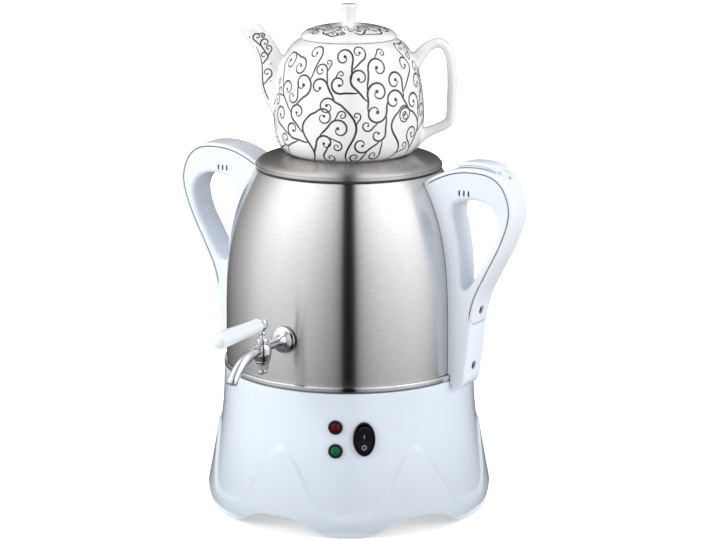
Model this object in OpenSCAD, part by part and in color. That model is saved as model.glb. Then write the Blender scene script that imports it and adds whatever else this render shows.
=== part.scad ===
// Electric samovar: a steel tank on a heated base, with a tap, two handles, and a porcelain teapot
// that keeps warm on the lid. The table is z = 0, the tank's axis is Z, and the tap points along -Y.

/* [Tank] */
// Outer radius of the tank at its foot
tank_r = 104; // [100:1:108]
// Height of the tank wall above the base
tank_h = 168.5; // [161:0.5:178]
// Outer radius of the tank at its mouth
mouth_r = 77.5; // [74:0.5:81]
// How late the shoulder starts to turn in
shoulder_power = 4.2; // [3.8:0.1:4.8]
// Thickness of the tank's sheet steel
tank_t = 1; // [0.8:0.1:1.3]
// Height of the tank floor above the foot of the wall
floor_lift = 8.5; // [7.5:0.5:12]

/* [Base] */
// Height of the white base
base_h = 119.5; // [114:0.5:126]
// Growth of the base radius per millimetre of height, low down
base_flare = 0.2; // [0.17:0.01:0.23]
// Wall thickness of the base
base_t = 2.5; // [2:0.1:3.2]
// Rise of the bottom edge between two feet
arch_rise = 14.5; // [11:0.5:15]
// Height of the raised wave on a foot
wave_low = 18; // [16:0.5:22]
// Height of the raised wave between two feet
wave_high = 71; // [66:1:76]
// How far the skirt under the wave stands out
wave_step = 1.2; // [0.8:0.1:2]
// Height of the gap that the rubber pads leave under the base
pad_show = 1; // [0.6:0.1:1.6]
// Radius of a rubber pad
pad_r = 7; // [6:0.5:8]

/* [Trim ring] */
// Height of the chrome ring
ring_h = 5; // [4:0.5:6]
// How far the ring stands out from the tank
ring_out = 2; // [1.4:0.1:2.6]

/* [Lid] */
// Height of the lid's crown above its rim
lid_rise = 8.6; // [6.6:0.2:11]
// Thickness of the lid's sheet steel
lid_t = 1; // [0.8:0.1:1.3]
// Height of the lid's rim
lid_rim_h = 2.2; // [1.8:0.1:3]
// Thickness of the black gasket on the tank's mouth
gasket_h = 1.4; // [1:0.1:2]
// Depth of the seat for the teapot
seat_depth = 1.8; // [1.2:0.1:2.4]

/* [Handles] */
// Reach of a handle beyond the tank's foot radius
handle_reach = 56; // [50:1:60]
// Thickness of a handle
handle_t = 30; // [26:1:34]
// Thickness of the outer cover strip
cover_t = 3; // [2.6:0.1:3.4]
// Rounding of the hand opening's edges
grip_round = 4; // [3:0.5:5]
// Width of the thumb latch
latch_w = 19; // [16:1:22]
// Radius of the latch pin
latch_pin_r = 1.25; // [1:0.05:1.5]

/* [Tap] */
// Height of the tap above the base
tap_up = 42; // [38:0.5:46]
// Distance from the tank's wall to the plug's axis
tap_reach = 34; // [31:0.5:38]
// Radius of the wall flange
flange_r = 11; // [10:0.5:12.5]
// Radius of the threaded shank
shank_r = 6; // [5.5:0.5:6.5]
// Radius of the plug that turns in the barrel
plug_r = 3.75; // [3.4:0.05:4]
// Outer radius of the spout
spout_r = 4.6; // [4.2:0.1:5]
// Inner radius of the spout
spout_bore_r = 3.2; // [2.8:0.1:3.4]
// Radius of the spout's bend
spout_bend = 46; // [42:1:50]
// Angle that the spout turns down by
spout_angle = 54; // [48:1:60]
// Length of the white lever
lever_l = 62; // [54:1:68]
// Radius of the white lever at its tip
lever_r = 7.6; // [6.6:0.2:8.4]

/* [Controls] */
// Height of the middle of the switch and lamps above the table
panel_z = 82; // [79:0.5:85]
// Distance of the lamps from the panel's middle line
lamp_side = 10.7; // [9.7:0.1:12.7]
// Distance of the switch from the panel's middle line
switch_side = 12.6; // [11.6:0.1:13.6]
// Radius of a lamp's bezel
lamp_r = 6; // [5.5:0.1:6.5]
// Distance between the two lamps
lamp_gap = 19.5; // [17:0.5:22]
// Width of the oval switch bezel
switch_w = 18.4; // [17:0.2:19.6]
// Height of the oval switch bezel
switch_l = 28.3; // [26:0.3:31]
// Angle that the rocker tilts through
rocker_swing = 14; // [10:1:16]

/* [Teapot] */
// Height of the teapot's body, foot to mouth
pot_h = 97.4; // [90:0.2:105]
// Largest radius of the teapot
pot_r = 62.8; // [58:0.2:66]
// Thickness of the porcelain
pot_t = 3; // [2.4:0.1:3.6]
// Radius of the teapot's mouth at its lid
pot_mouth_r = 40; // [37:0.5:43]
// Reach of the spout beyond the largest radius
spout_reach = 20; // [16:1:24]
// Reach of the handle beyond the largest radius
strap_reach = 26; // [22:1:30]

/* [Hidden] */

// Clearances
touch = 0.05;      // between two pieces that sit against each other
seat_gap = 0.3;    // between pieces of different bodies, and along curved faces
running = 0.05;    // radial clearance of a shaft that turns in a hole

// Heights and radii that follow from the driving dimensions
feet = 6;
base_top_r = tank_r + ring_out;
foot_z = base_h + touch;
mouth_z = base_h + tank_h;
floor_z = base_h + floor_lift;
lid_z = mouth_z + gasket_h + 0.2;
lid_rim_r = mouth_r + 1;
crown_z = lid_z + lid_rim_h + lid_rise;
pot_foot_r = mouth_r - 30;
seat_r = pot_foot_r + 3;
seat_z = crown_z - seat_depth;
pot_z = seat_z + seat_gap;
pot_top = pot_z + pot_h;
tap_z = base_h + tap_up;
white = [0.93, 0.94, 0.97];
steel = [0.62, 0.62, 0.64];
chrome = [0.78, 0.79, 0.81];
black = [0.06, 0.06, 0.07];
$fn = 64;

// ---- Curves and sweeps ----

function unit(v) = v / norm(v);
function smooth(x) = let (c = max(0, min(1, x))) c * c * (3 - 2 * c);
function left_of(v) = unit([-v[1], v[0]]);

// Point at share t between b and c on the smooth curve through a, b, c and d
function curve_at(a, b, c, d, t) =
    0.5 * (2 * b + (c - a) * t + (2 * a - 5 * b + 4 * c - d) * t * t + (3 * b - a - 3 * c + d) * t * t * t);

// Smooth closed curve through the points, k steps a span
function closed_curve(p, k) =
    let (n = len(p))
    [for (i = [0:n - 1], j = [0:k - 1])
        curve_at(p[(i + n - 1) % n], p[i], p[(i + 1) % n], p[(i + 2) % n], j / k)];

// Smooth open curve through the points, k steps a span, with both ends kept
function open_curve(p, k) =
    let (n = len(p), first = 2 * p[0] - p[1], last = 2 * p[n - 1] - p[n - 2])
    concat([for (i = [0:n - 2], j = [0:k - 1])
        curve_at(i == 0 ? first : p[i - 1], p[i], p[i + 1], i == n - 2 ? last : p[i + 2], j / k)],
        [p[n - 1]]);

// Direction of travel at each point of an open path
function travel(p) =
    let (n = len(p))
    [for (i = [0:n - 1]) unit(p[min(i + 1, n - 1)] - p[max(i - 1, 0)])];

// The path shifted to its left by d
function shifted(p, d) = let (t = travel(p)) [for (i = [0:len(p) - 1]) p[i] + d * left_of(t[i])];
function backwards(p) = [for (i = [len(p) - 1:-1:0]) p[i]];

// A solid through rings of points; the rings are in order, and each runs the same way round
module sweep(rings, closed = false) {
    n = len(rings);
    m = len(rings[0]);
    spans = closed ? n : n - 1;
    sides = [for (i = [0:spans - 1], j = [0:m - 1])
        let (a = i * m + j, b = i * m + (j + 1) % m,
             c = ((i + 1) % n) * m + (j + 1) % m, d = ((i + 1) % n) * m + j)
        each [[a, b, c], [a, c, d]]];
    last = (n - 1) * m;
    caps = closed ? [] : [for (j = [1:m - 2]) each [[0, j + 1, j], [last, last + j, last + j + 1]]];
    polyhedron(points = [for (r = rings) each r], faces = concat(sides, caps), convexity = 8);
}

// Oval rings along a path; flat is the direction that one axis of each ring keeps to
function oval_rings(path, flat, across, along, sides) =
    let (t = travel(path))
    [for (i = [0:len(path) - 1])
        let (side = unit(cross(t[i], flat)), up = cross(side, t[i]))
        [for (j = [0:sides - 1])
            path[i] + side * across[i] * cos(360 * j / sides) + up * along[i] * sin(360 * j / sides)]];

function same(value, path) = [for (p = path) value];

// A ring or a bush between two radii
module pipe(r_out, r_in, h) {
    difference() {
        cylinder(r = r_out, h = h);
        translate([0, 0, -1]) cylinder(r = r_in, h = h + 2);
    }
}

module hexagon(across, h) cylinder(r = across / sqrt(3), h = h, $fn = 6);

module oval(w, l) polygon([for (i = [0:47]) [w / 2 * cos(i * 7.5), l / 2 * sin(i * 7.5)]]);

// ---- Shapes that several pieces share ----

// Outer radius of the tank at height z
function tank_edge(z) =
    mouth_r + (tank_r - mouth_r) * (1 - pow(max(0, min(1, (z - base_h) / tank_h)), shoulder_power));
function tank_line(z0, z1, steps) =
    [for (i = [0:steps]) let (z = z0 + (z1 - z0) * i / steps) [tank_edge(z), z]];
function tank_slope(z) = atan(tank_edge(z - 0.5) - tank_edge(z + 0.5));

// Outer radius of the base at height z, without its waves
flare_soft = 25;
flare_start = 36;
function flare(d) = base_flare / 2 * (d - flare_start + norm([d - flare_start, flare_soft]));
function base_edge(z) = base_top_r + flare(base_h - z) - flare(0);
function base_slope(z) = atan(base_edge(z - 0.5) - base_edge(z + 0.5));

// How far the foot curls in below toe_h
toe_h = 20;
toe_in = 6;
function curl(z) = z < toe_h ? toe_in * pow((toe_h - z) / toe_h, 2.2) : 0;

// Puts a piece on the base's side: its own Z points out of the wall, and its Y up the wall
module on_base(az, x, z, lift = 0) {
    rotate([0, 0, az + asin(x / base_edge(z))]) translate([0, -base_edge(z), z])
        rotate([90 - base_slope(z), 0, 0]) translate([0, 0, lift]) children();
}

// The base's outside as a solid, to trim the back of what sits on it
module base_core(low, high) {
    rotate_extrude($fn = 96) polygon(concat([[0, low]],
        [for (i = [0:10]) let (z = low + (high - low) * i / 10) [base_edge(z) + 0.15, z]], [[0, high]]));
}

// The same on the tank's side
module on_tank(az, z) {
    rotate([0, 0, az]) translate([0, -tank_edge(z), z]) rotate([90 - tank_slope(z), 0, 0]) children();
}

module both_sides() {
    children();
    mirror([1, 0, 0]) children();
}

// ---- Base ----

wave_soft = 4.5;
plate_top = toe_h - 3;
plate_t = 2.5;
ledge_w = 7.5;
ledge_r = base_edge(plate_top) - base_t - ledge_w;
plate_r = ledge_r + ledge_w - 2;
shelf_r = tank_r - 8;
shelf_t = 2.5;
post_r = 8.5;
post_at = ledge_r - post_r - 0.5;

// One upright cut through the base wall, at angle a from a foot
function base_cut(a) =
    let (w = (1 - cos(feet * a)) / 2,
         wave = wave_low + (wave_high - wave_low) * pow(w, 1.8),
         low = pad_show + arch_rise * smooth((w - 0.05) / 0.95),
         out = function(z) base_edge(z) + wave_step * smooth((wave - z) / wave_soft / 2 + 0.5) - curl(z),
         inn = function(z) base_edge(z) - base_t - curl(z),
         under = [for (i = [0:4]) low + (wave - wave_soft - low) * i / 5],
         band = [for (i = [-1.0:2 / 3:1.1]) wave + wave_soft * i],
         over = [for (i = [1:5]) wave + wave_soft + (base_h - wave - wave_soft) * i / 5],
         outside = [for (z = concat(under, band, over)) [out(z), z]],
         shelf = [[shelf_r, base_h], [shelf_r, base_h - shelf_t]],
         inside = [for (z = [base_h - shelf_t, 95, 75, 55, 38, toe_h + 2]) [inn(z), z]],
         ledge = [[ledge_r, toe_h], [ledge_r, plate_top]],
         skirt = [[inn(plate_top), plate_top], [inn(low), low]])
    concat(outside, shelf, inside, ledge, skirt);

module base_shell() {
    columns = 72;
    color(white) difference() {
        sweep([for (i = [0:columns - 1]) let (a = -360 * i / columns)
            [for (p = base_cut(a)) [p[0] * cos(a), p[0] * sin(a), p[1]]]], closed = true);
        on_base(panel_az, switch_side, panel_z) translate([0, 0, -20]) linear_extrude(30)
            oval(housing_w + 0.6, housing_l + 0.6);
        for (s = [-1, 1]) on_base(panel_az, -lamp_side, panel_z + s * lamp_gap / 2)
            translate([0, 0, -15]) cylinder(r = lamp_barrel_r + 0.2, h = 25);
        on_base(inlet_az, 0, inlet_z) translate([-inlet_w / 2 - 0.3, -inlet_l / 2 - 0.3, -20])
            cube([inlet_w + 0.6, inlet_l + 0.6, 30]);
        on_base(inlet_az, 0, inlet_z) for (s = [-1, 1]) translate([s * inlet_screw_x, 0, -15])
            cylinder(r = screw_r + 0.1, h = 25);
    }
}

module base_plate() {
    color([0.85, 0.85, 0.87]) difference() {
        union() {
            translate([0, 0, plate_top - plate_t]) cylinder(r = plate_r, h = plate_t - touch);
            at_pads() translate([0, 0, pad_h]) cylinder(r = post_r, h = plate_top - plate_t - pad_h + 1);
        }
        at_pads() translate([0, 0, pad_h - 1]) cylinder(r = pad_stem_r + touch, h = 9);
        for (a = stud_angles) rotate([0, 0, a]) translate([stud_at, 0, 0]) cylinder(r = stud_r + 0.3, h = 30);
        for (a = [0:30:330]) rotate([0, 0, a + 15]) translate([45, 0, 0]) cylinder(r = 2.5, h = 30);
    }
}

pad_h = pad_show + 1.6;
pad_stem_r = 2.2;
// One place under each foot, and one in the middle of the base
module at_pads() {
    children();
    for (i = [0:feet - 1]) rotate([0, 0, 360 / feet * i]) translate([post_at, 0, 0]) children();
}
module foot_pads() {
    color(black) at_pads() {
        cylinder(r = pad_r, h = pad_h - touch);
        cylinder(r = pad_stem_r, h = pad_h + 6);
    }
}

stud_r = 2.5;
stud_at = tank_r - 26;
stud_angles = [30, 150, 270];
nut_h = 4;
stud_low = plate_top - plate_t - nut_h - 2;
stud_l = floor_z - touch - stud_low;
stud_foot_t = 1.5;
module tank_studs() {
    color(steel) for (a = stud_angles) rotate([0, 0, a]) translate([stud_at, 0, stud_low]) {
        cylinder(r = stud_r, h = stud_l);
        translate([0, 0, stud_l - stud_foot_t]) cylinder(r = 6, h = stud_foot_t);
    }
}

module base_nuts() {
    color(steel) for (a = stud_angles) rotate([0, 0, a])
        translate([stud_at, 0, plate_top - plate_t - nut_h - touch]) difference() {
            union() {
                hexagon(8, nut_h);
                translate([0, 0, nut_h - 0.8]) cylinder(r = 7, h = 0.8);
            }
            translate([0, 0, -1]) cylinder(r = stud_r + touch, h = nut_h + 2);
        }
}

module trim_ring() {
    color(chrome) rotate_extrude($fn = 96) translate([tank_r + 0.15, base_h + touch])
        polygon(concat([[0, 0], [0, ring_h]], [for (a = [80:-20:-80])
            [ring_out - 0.6 + 0.6 * cos(a), ring_h / 2 + (ring_h / 2) * sin(a) * 0.98]]));
}

// ---- Tank ----

module tank_wall() {
    outer = tank_line(foot_z, mouth_z, 30);
    color(steel) difference() {
        rotate_extrude($fn = 96) polygon(concat(outer, backwards(shifted(outer, tank_t))));
        rotate([0, 0, -90]) translate([tank_r - 20, 0, tap_z]) rotate([0, 90, 0])
            cylinder(r = shank_r + 0.2, h = 40);
        for (az = [90, -90], z = bolt_heights) on_tank(az, z) translate([0, 0, -20])
            cylinder(r = bolt_r + 0.15, h = 30);
    }
}

floor_t = 1.2;
module tank_floor() {
    rim = tank_r - tank_t - touch;
    color(steel) rotate_extrude($fn = 96)
        polygon([[0, floor_z], [rim - floor_t, floor_z], [rim - floor_t, base_h + 1], [rim, base_h + 1],
                 [rim, floor_z + floor_t], [0, floor_z + floor_t]]);
}

module mouth_gasket() {
    color(black) translate([0, 0, mouth_z + touch])
        pipe(mouth_r + 0.5, mouth_r - tank_t - 0.6, gasket_h - touch);
}

// ---- Heater ----

heater_r = 62;
heater_t = 4;
element_r = 3.8;
element_at = 46;
thermo_r = 8.5;
heater_z = floor_z - touch - heater_t;
element_z = heater_z - element_r - touch;
pin_l = 14;
pin_gap = 15;
pin_in = 5;

module heater_plate() {
    color([0.75, 0.76, 0.78]) difference() {
        translate([0, 0, heater_z]) cylinder(r = heater_r, h = heater_t);
        translate([0, 0, heater_z - 1]) cylinder(r = thermo_r + 2, h = heater_t + 2);
        for (s = [-1, 1]) translate([s * strap_screw_x, 0, heater_z - 1])
            cylinder(r = screw_r + 0.1, h = heater_t + 2);
    }
}

module heating_element() {
    color([0.35, 0.33, 0.32]) union() {
        translate([0, 0, element_z]) rotate([0, 0, 90 + pin_gap]) rotate_extrude(angle = 360 - 2 * pin_gap)
            translate([element_at, 0]) circle(r = element_r);
        for (s = [-1, 1]) rotate([0, 0, 90 + s * (pin_gap + pin_in)])
            translate([element_at, 0, element_z - element_r - pin_l])
                cylinder(r = 1.6, h = pin_l + element_r);
    }
}

thermo_h = 6;
thermo_tail = 8;
module thermostat() {
    color(black) translate([0, 0, floor_z - touch - thermo_h]) {
        cylinder(r = thermo_r, h = thermo_h);
        translate([-4, -3, -4]) cube([8, 6, 4]);
    }
    color(steel) for (s = [-1, 1]) translate([s * 6 - 1.5, -0.4, floor_z - touch - thermo_h - thermo_tail])
        cube([3, 0.8, thermo_tail]);
}

strap_screw_x = 20;
strap_t = 1.5;
module thermostat_strap() {
    z = floor_z - touch - thermo_h - touch - strap_t;
    color(steel) difference() {
        translate([-26, -5, z]) cube([52, 10, strap_t]);
        translate([-8, -3.5, z - 1]) cube([16, 7, strap_t + 2]);
        for (s = [-1, 1]) translate([s * strap_screw_x, 0, z - 1])
            cylinder(r = screw_r + 0.1, h = strap_t + 2);
    }
    color(steel) for (s = [-1, 1]) translate([s * strap_screw_x, 0, z + strap_t])
        pipe(3.2, screw_r + 0.1, heater_z - z - strap_t - touch);
}

screw_r = 1.5;
module strap_screws() {
    z = floor_z - touch - thermo_h - touch - strap_t;
    color(steel) for (s = [-1, 1]) translate([s * strap_screw_x, 0, 0]) {
        translate([0, 0, z - 2.2 - touch]) cylinder(r = 2.9, h = 2.2);
        translate([0, 0, z - 1]) cylinder(r = screw_r, h = floor_z - touch - z);
    }
}

block_w = 34;
block_d = 16;
block_h = 12;
block_y = 56;
block_top = plate_top + block_h - 5;
block_up = plate_top + block_h + 1.5;
block_holes = [-12, -4, 4, 12];
module terminal_block() {
    color([0.9, 0.89, 0.85]) difference() {
        translate([-block_w / 2, block_y - block_d / 2, plate_top]) cube([block_w, block_d, block_h]);
        for (x = block_holes) translate([x, block_y, block_top]) cylinder(r = wire_r + 0.3, h = 6);
    }
}

// ---- Mains inlet, at the back ----

inlet_az = 180;
inlet_drop = 25.5;
inlet_z = base_h - inlet_drop;
inlet_w = 27;
inlet_l = 20;
inlet_wall = 1.6;
inlet_deep = 17;
inlet_face = 2.4;
inlet_flange_x = 19;
inlet_flange_y = 12;
inlet_screw_x = 16;
blade_x = 7;
blade_tail = 6;
socket_w = inlet_w - 2 * inlet_wall;
socket_l = inlet_l - 2 * inlet_wall;

module inlet_housing() {
    color(black) difference() {
        on_base(inlet_az, 0, inlet_z) union() {
            translate([-inlet_flange_x, -inlet_flange_y, -3])
                cube([2 * inlet_flange_x, 2 * inlet_flange_y, inlet_face + 3]);
            translate([-inlet_w / 2, -inlet_l / 2, -inlet_deep]) cube([inlet_w, inlet_l, inlet_deep]);
        }
        difference() {
            base_core(inlet_z - 30, inlet_z + 25);
            on_base(inlet_az, 0, inlet_z) translate([-inlet_w / 2, -inlet_l / 2, -30])
                cube([inlet_w, inlet_l, 40]);
        }
        on_base(inlet_az, 0, inlet_z) translate([-socket_w / 2, -socket_l / 2, -inlet_deep + inlet_wall])
            cube([socket_w, socket_l, 30]);
        on_base(inlet_az, 0, inlet_z) for (p = blade_places)
            translate([p[0] - 1.1, p[1] - 2.1, -30]) cube([2.2, 4.2, 30]);
        on_base(inlet_az, 0, inlet_z) for (s = [-1, 1]) translate([s * inlet_screw_x, 0, -10])
            cylinder(r = screw_r + 0.1, h = 20);
    }
}

blade_places = [[-blade_x, -3], [blade_x, -3], [0, 3]];
module inlet_blades() {
    color([0.8, 0.7, 0.45]) on_base(inlet_az, 0, inlet_z) for (p = blade_places)
        translate([p[0] - 1, p[1] - 2, -inlet_deep - blade_tail]) cube([2, 4, inlet_deep + blade_tail - 2]);
}

module inlet_screws() {
    color(steel) on_base(inlet_az, 0, inlet_z) for (s = [-1, 1]) translate([s * inlet_screw_x, 0, 0]) {
        translate([0, 0, inlet_face + touch]) difference() {
            cylinder(r = 2.8, h = 1.4);
            translate([-3, -0.4, 0.8]) cube([6, 0.8, 2]);
        }
        translate([0, 0, -6]) cylinder(r = screw_r, h = inlet_face + 6.1);
    }
}

// ---- Switch and lamps, at the front ----

panel_az = 30;
panel_lift = 0.5;
bezel_h = 1.8;
bezel_t = 1.4;
housing_w = switch_w - 1.6;
housing_l = switch_l - 1.6;
housing_deep = 17;
rocker_w = switch_w - 2 * bezel_t - 0.5;
rocker_l = switch_l - 2 * bezel_t - 2.2;
rocker_axis = -4.5;
tail_l = 6;

module at_switch() on_base(panel_az, switch_side, panel_z, panel_lift) children();

module switch_housing() {
    color(black) difference() {
        at_switch() translate([0, 0, -housing_deep]) linear_extrude(housing_deep + bezel_h)
            oval(switch_w, switch_l);
        difference() {
            base_core(panel_z - 40, panel_z + 30);
            at_switch() translate([0, 0, -30]) linear_extrude(40) oval(housing_w, housing_l);
        }
        at_switch() translate([0, 0, -housing_deep + 2]) linear_extrude(40)
            oval(switch_w - 2 * bezel_t, switch_l - 2 * bezel_t);
        at_switch() translate([-20, 0, rocker_axis]) rotate([0, 90, 0])
            cylinder(r = 1.2 + running, h = 40);
        at_switch() for (y = [-6, 6]) translate([-2, y - 0.4 - touch, -30])
            cube([4, 0.8 + 2 * touch, 40]);
    }
}

// The rocker's side view is a shallow V that is pressed in at its lower end
rocker_top = 0.8 - rocker_axis;
module switch_rocker() {
    half = rocker_l / 2;
    rise = tan(rocker_swing / 2) * half;
    color([0.09, 0.09, 0.1]) at_switch() translate([0, 0, rocker_axis])
        rotate([rocker_swing / 2, 0, 0]) {
            intersection() {
                translate([-rocker_w / 2, 0, 0]) rotate([90, 0, 90]) linear_extrude(rocker_w)
                    polygon([[-half, rocker_top + rise], [0, rocker_top], [half, rocker_top + rise],
                             [half, 1.5], [4, -3], [-4, -3], [-half, 1.5]]);
                translate([0, 0, -10]) linear_extrude(30) oval(rocker_w, rocker_l);
            }
            translate([-rocker_w / 2 - 0.7, 0, 0]) rotate([0, 90, 0]) cylinder(r = 1.2, h = rocker_w + 1.4);
        }
}

module switch_terminals() {
    color([0.8, 0.7, 0.45]) at_switch() for (y = [-6, 6])
        translate([-1.9, y - 0.4, -housing_deep - tail_l]) cube([3.8, 0.8, tail_l + 4]);
}

lamp_barrel_r = lamp_r - 1.4;
lens_r = lamp_r - 1.9;
lamp_lift = 0.3;
lamp_bezel_h = 1.6;
lamp_deep = 14;
clip_t = 1;
module at_lamp(s) on_base(panel_az, -lamp_side, panel_z + s * lamp_gap / 2, lamp_lift) children();

module lamp_bezels() {
    color([0.2, 0.2, 0.21]) for (s = [-1, 1]) difference() {
        at_lamp(s) rotate_extrude() polygon([[0, -lamp_deep], [lamp_r, -lamp_deep], [lamp_r, 0.7],
                                             [lamp_r - 0.7, lamp_bezel_h], [0, lamp_bezel_h]]);
        difference() {
            base_core(panel_z - 40, panel_z + 30);
            at_lamp(s) translate([0, 0, -30]) cylinder(r = lamp_barrel_r, h = 40);
        }
        at_lamp(s) translate([0, 0, -lamp_deep + 3]) cylinder(r = lens_r + touch, h = 40);
    }
}

module lamp_lens(s) {
    at_lamp(s) rotate_extrude() polygon(concat([[0, -9], [lens_r, -9], [lens_r, lamp_bezel_h - 0.4]],
        [for (a = [15:15:90]) [lens_r * cos(a), lamp_bezel_h - 0.4 + 1.1 * sin(a)]]));
}
module lamp_red() color([0.55, 0.03, 0.04]) lamp_lens(1);
module lamp_green() color([0.05, 0.3, 0.12]) lamp_lens(-1);

module lamp_clips() {
    color(steel) for (s = [-1, 1]) at_lamp(s) translate([0, 0, -lamp_lift - base_t - seat_gap - clip_t - 0.15])
        pipe(lamp_barrel_r + 2, lamp_barrel_r + touch, clip_t);
}

// ---- Wiring inside the base ----

wire_r = 1.2;
pin_x = element_at * sin(pin_gap + pin_in);
pin_y = element_at * cos(pin_gap + pin_in);
pin_z = element_z - element_r - pin_l - touch;
thermo_z = floor_z - touch - thermo_h - thermo_tail - touch;
blade_y = base_edge(inlet_z) - inlet_deep - blade_tail - touch;
switch_y = base_edge(panel_z) - housing_deep - tail_l - touch;

// A point behind the control panel: x to the right of its middle, r from the axis
function behind_panel(x, r, z) =
    [x * cos(panel_az) + r * sin(panel_az), x * sin(panel_az) - r * cos(panel_az), z];

wire_routes = [
    [[-blade_x, blade_y, inlet_z - 3], [-blade_x, blade_y - 4, inlet_z - 3], [-12, block_y + 12, 60],
     [-12, block_y, 42], [-12, block_y, block_up], [-12, block_y, block_top]],
    [[blade_x, blade_y, inlet_z - 3], [blade_x, blade_y - 4, inlet_z - 3], [12, block_y + 12, 60],
     [12, block_y, 42], [12, block_y, block_up], [12, block_y, block_top]],
    [[-4, block_y, block_top], [-4, block_y, block_up], [-4, block_y, 40], [-8, 50, 60],
     [-pin_x, pin_y, pin_z - 8], [-pin_x, pin_y, pin_z]],
    [[pin_x, pin_y, pin_z], [pin_x, pin_y, pin_z - 8], [16, 24, 88], [6, 0, thermo_z - 8], [6, 0, thermo_z]],
    [[-6, 0, thermo_z], [-6, 0, thermo_z - 8], [0, -20, 80],
     behind_panel(switch_side, switch_y - 8, panel_z + 6), behind_panel(switch_side, switch_y, panel_z + 6)],
    [[4, block_y, block_top], [4, block_y, block_up], [4, block_y, 38], [22, 30, 44], [40, -20, 52],
     behind_panel(switch_side, switch_y - 8, panel_z - 6), behind_panel(switch_side, switch_y, panel_z - 6)]];

module wiring() {
    color([0.55, 0.2, 0.15]) for (route = wire_routes) {
        path = open_curve(route, 5);
        sweep(oval_rings(path, [0.31, 0.22, 0.4], same(wire_r, path), same(wire_r, path), 8));
    }
}

// ---- Tap: its own X points out of the tank ----

module at_tap() rotate([0, 0, -90]) children();
module around_x(x) translate([x, 0, tap_z]) rotate([0, 90, 0]) children();

tap_x = tank_r + tap_reach;
flange_x = tank_r + 1.6;
inner_x = tank_r - tank_t - 0.65;
shank_l = 18;
pipe_r = 3.8;
water_r = 2.6;
barrel_low = tap_z - 11.5;
barrel_high = tap_z + 4;
spout_start = 9;
module at_bend() translate([tap_x + spout_start, 0, tap_z - spout_bend]) rotate([90, 0, 0]) children();

module tap_body() {
    color(chrome) at_tap() difference() {
        union() {
            around_x(flange_x) rotate_extrude() polygon([[0, 0], [flange_r - 0.4, 0], [flange_r, 0.6],
                [flange_r, 1.6], [flange_r - 1.4, 2.8], [pipe_r + 2, 4.4], [pipe_r + 0.4, 6.6],
                [pipe_r, 9], [0, 9]]);
            around_x(flange_x - shank_l) cylinder(r = shank_r, h = shank_l + 1);
            around_x(flange_x + 3) cylinder(r = pipe_r, h = tap_x - flange_x - 3);
            translate([tap_x, 0, 0]) rotate_extrude() polygon([[0, barrel_low], [plug_r + 1.8, barrel_low],
                [plug_r + 2.2, barrel_low + 1], [plug_r + 2.2, barrel_low + 2.4],
                [plug_r + 3.2, barrel_low + 4.4],
                [plug_r + 3.6, tap_z - 3], [plug_r + 3.4, tap_z], [plug_r + 2, barrel_high - 1],
                [plug_r + 1.8, barrel_high], [0, barrel_high]]);
            around_x(tap_x) cylinder(r1 = spout_r - 1, r2 = spout_r - 0.2, h = spout_start + 1);
            at_bend() rotate([0, 0, 90 - spout_angle])
                rotate_extrude(angle = spout_angle) translate([spout_bend, 0]) circle(r = spout_r);
        }
        translate([tap_x, 0, barrel_low - 1]) cylinder(r = plug_r + running, h = 40);
        around_x(flange_x - shank_l - 1) cylinder(r = water_r, h = tap_x - flange_x + shank_l + 1);
        around_x(tap_x) cylinder(r = water_r, h = spout_start + 1.5);
        at_bend() rotate([0, 0, 89 - spout_angle])
            rotate_extrude(angle = spout_angle) translate([spout_bend, 0]) circle(r = spout_bore_r);
    }
}

module tap_washers() {
    color([0.12, 0.12, 0.12]) at_tap() {
        around_x(tank_r + touch) pipe(flange_r - 1, shank_r + 0.1, 1.5);
        around_x(inner_x - 1.5) pipe(shank_r + 4, shank_r + 0.1, 1.5);
    }
}

module tap_nut() {
    color(steel) at_tap() around_x(inner_x - 1.5 - touch - 5) difference() {
        hexagon(18, 5);
        translate([0, 0, -1]) cylinder(r = shank_r + touch, h = 8);
    }
}

lever_z = barrel_high + 16.5;
neck_low = barrel_high + 0.3;
module tap_plug() {
    color(chrome) at_tap() difference() {
        translate([tap_x, 0, 0]) rotate_extrude() polygon([[0, barrel_low - 6], [2.2, barrel_low - 6],
            [2.2, barrel_low - 0.3], [plug_r, barrel_low - 0.3], [plug_r, neck_low], [plug_r + 0.6, neck_low],
            [plug_r + 1.3, neck_low + 1], [plug_r + 1.3, neck_low + 3.2], [plug_r + 0.5, neck_low + 4.4],
            [2, neck_low + 5], [2, neck_low + 7], [2.9, neck_low + 8.5], [2, neck_low + 10],
            [2.2, neck_low + 12], [4.2, neck_low + 12.8], [4.4, neck_low + 14], [4.4, neck_low + 18],
            [3.2, neck_low + 20], [0, neck_low + 20.4]]);
        translate([tap_x, 30, tap_z]) rotate([90, 0, 0]) cylinder(r = water_r, h = 60);
        translate([tap_x - 1.5, 0, lever_z]) rotate([0, 90, 0]) cylinder(r = rod_r + touch, h = 20);
    }
}

module plug_washer() {
    color(steel) at_tap() translate([tap_x, 0, barrel_low - 1.4]) pipe(4.9, 2.2 + touch, 1);
}

module plug_nut() {
    color(chrome) at_tap() translate([tap_x, 0, 0]) difference() {
        union() {
            translate([0, 0, barrel_low - 1.45 - 4]) hexagon(8.6, 4);
            translate([0, 0, barrel_low - 1.45 - 8]) rotate_extrude()
                polygon([[0, 0], [2.6, 0.2], [3.6, 1.2], [3.8, 2.4], [3.8, 5], [0, 5]]);
        }
        translate([0, 0, barrel_low - 7]) cylinder(r = 2.2 + touch, h = 10);
    }
}

rod_r = 2;
grip_x = tap_x + 6;
module lever_rod() {
    color(chrome) at_tap() translate([tap_x - 1.4, 0, lever_z]) rotate([0, 90, 0]) {
        cylinder(r = rod_r, h = 20);
    }
}

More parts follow.
